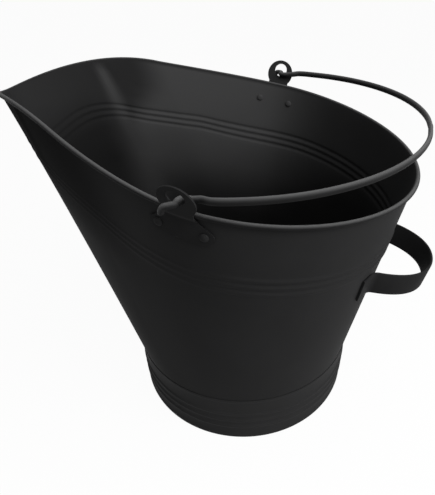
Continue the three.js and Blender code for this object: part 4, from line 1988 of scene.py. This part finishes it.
@dataclass
class Studio:
    """The pale floor, the white surround, the lamps and the camera.

    The camera's place is in millimetres from the foot's centre. The floor's size, the lamps and
    the near end of what the camera sees are in metres.
    """

    foot_y: float
    floor_size: float = 8.0
    floor_grey: float = 0.8
    floor_glow: float = 0.96
    world_light: float = 0.22
    camera_azimuth: float = 105.278
    camera_elevation: float = 37.806
    camera_place: tuple[float, float, float] = (354.967, 103.659, 420.620)
    camera_near: float = 0.01
    focal_px: float = 443.204
    centre_px: tuple[float, float] = (249.343, 266.567)
    picture_px: tuple[int, int] = (435, 495)
    sensor_mm: float = 36.0
    lamp_target: tuple[float, float, float] = (0.0, 0.0, 0.15)
    lamps: tuple[Lamp, ...] = (
        Lamp("rear_softbox", (0.2, 0.9, 0.7), 0.5, 7.9),
        Lamp("top_softbox", (0.2, 0.2, 0.8), 0.5, 2.9),
    )

    def camera(self) -> None:
        """Places the camera where the photograph was taken from."""
        width, height = self.picture_px
        data = bpy.data.cameras.new("photo_camera")
        data.sensor_width = self.sensor_mm
        data.lens = self.focal_px / height * self.sensor_mm
        data.shift_x = (width / 2 - self.centre_px[0]) / height
        data.shift_y = (self.centre_px[1] - height / 2) / height
        data.clip_start = self.camera_near
        camera = add_object("photo_camera", data)
        azimuth = math.radians(self.camera_azimuth)
        elevation = math.radians(self.camera_elevation)
        level = math.cos(elevation)
        back = Vector((math.sin(azimuth) * level, -math.cos(azimuth) * level, math.sin(elevation)))
        camera.location = Vector(self.camera_place) * METRES_PER_MM + Vector((0, self.foot_y, 0))
        aim(camera, -back)
        bpy.context.scene.camera = camera

    def floor(self) -> None:
        """Lays a pale floor that is near white to the camera and keeps a soft shadow."""
        half = self.floor_size / 2
        corners = [(-half, -half, 0), (half, -half, 0), (half, half, 0), (-half, half, 0)]
        data = bpy.data.meshes.new("floor")
        data.from_pydata(corners, [], [(0, 1, 2, 3)])
        data.materials.append(self._floor_material())
        add_object("floor", data)

    @staticmethod
    def _seen_directly(tree: bpy.types.NodeTree) -> bpy.types.NodeSocket:
        """Adds nodes that tell whether the camera, a reflection or clear glass looks at a surface.

        Args:
            tree: A material's or the world's node tree.

        Returns:
            A socket that is 1 for such a ray.
        """
        path = add_node(tree, "ShaderNodeLightPath")
        seen = path.outputs["Is Camera Ray"]
        for ray in ("Is Glossy Ray", "Is Transmission Ray"):
            either = {0: seen, 1: path.outputs[ray]}
            seen = add_node(tree, "ShaderNodeMath", either, operation="MAXIMUM").outputs["Value"]
        return seen

    def _floor_material(self) -> bpy.types.Material:
        """A matt floor with a glow for what looks at it directly.

        Returns:
            The new material.
        """
        material = bpy.data.materials.new("pale_floor")
        material.use_nodes = True
        tree = material.node_tree
        tree.nodes.clear()
        matt = add_node(tree, "ShaderNodeBsdfDiffuse", {"Color": (*[self.floor_grey] * 3, 1.0)})
        glow = add_node(tree, "ShaderNodeEmission", {"Color": WHITE, "Strength": 1.0})
        seen = {0: self._seen_directly(tree), 1: self.floor_glow}
        share = add_node(tree, "ShaderNodeMath", seen, operation="MULTIPLY")
        blend = add_node(tree, "ShaderNodeMixShader", {
            "Fac": share.outputs["Value"],
            1: matt.outputs["BSDF"],
            2: glow.outputs["Emission"],
        })
        add_node(tree, "ShaderNodeOutputMaterial", {"Surface": blend.outputs["Shader"]})
        return material

    def surround(self) -> None:
        """Makes the world white to the camera and softly lit to everything else."""
        world = bpy.data.worlds.new("white_surround")
        bpy.context.scene.world = world
        world.use_nodes = True
        tree = world.node_tree
        light = tree.nodes["Background"]
        fill(tree, light, {"Color": WHITE, "Strength": self.world_light})
        white = add_node(tree, "ShaderNodeBackground", {"Color": WHITE, "Strength": 1.0})
        blend = add_node(tree, "ShaderNodeMixShader", {
            "Fac": self._seen_directly(tree),
            1: light.outputs["Background"],
            2: white.outputs["Background"],
        })
        fill(tree, tree.nodes["World Output"], {"Surface": blend.outputs["Shader"]})

    def build(self) -> None:
        """Sets up the whole studio and the plain view transform."""
        self.camera()
        self.floor()
        self.surround()
        for lamp in self.lamps:
            lamp.build(Vector(self.lamp_target))
        bpy.context.scene.view_settings.view_transform = "Standard"


# ------------------------------------------------------------------------------------ assembly


def settle(piece: bpy.types.Object, node: str, body: str = "bucket") -> None:
    """Says what a piece rides on and which node it stands for, and reports it.

    Args:
        piece: The new object.
        node: The node it replaces.
        body: The body it rides on.
    """
    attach(piece, body)
    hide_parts(node)
    LOG.info("%s stands for %s on %s", piece.name, node, body)


def main() -> None:
    """Builds the scuttle's pieces in order, and then the studio round them."""
    logging.basicConfig(level=logging.INFO)
    foot_y = foot_centre_y()
    maker, paints = MeshMaker(foot_y), Paints()
    wall = Wall(RimCurve(RimSizes()))
    ear = Ear(wall)
    settle(BodySheet(wall, PaintedLightAndShade(wall)).build(maker, paints), "body_sheet")
    settle(FootRing(wall).build(maker, paints), "foot_ring")
    settle(BottomPan(wall).build(maker, paints), "bottom_pan")
    for side in Side:
        node = f"ear_{side.name.lower()}"
        settle(ear.build(maker, paints, side, f"{node}_plate"), node)
        for end in End:
            node = f"rivet_{side.name.lower()}_{end.name.lower()}"
            settle(Rivet(ear).build(maker, paints, side, end, f"{node}_head"), node)
    settle(Bail(ear).build(maker, paints), "bail", "bail")
    settle(RearHandle(wall).build(maker, paints), "rear_handle")
    paints.dress_node(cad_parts["rim_wire"], Surface.RIM_WIRE)
    LOG.info("rim_wire keeps its own mesh")
    Studio(foot_y).build()


if __name__ == "__main__":
    main()
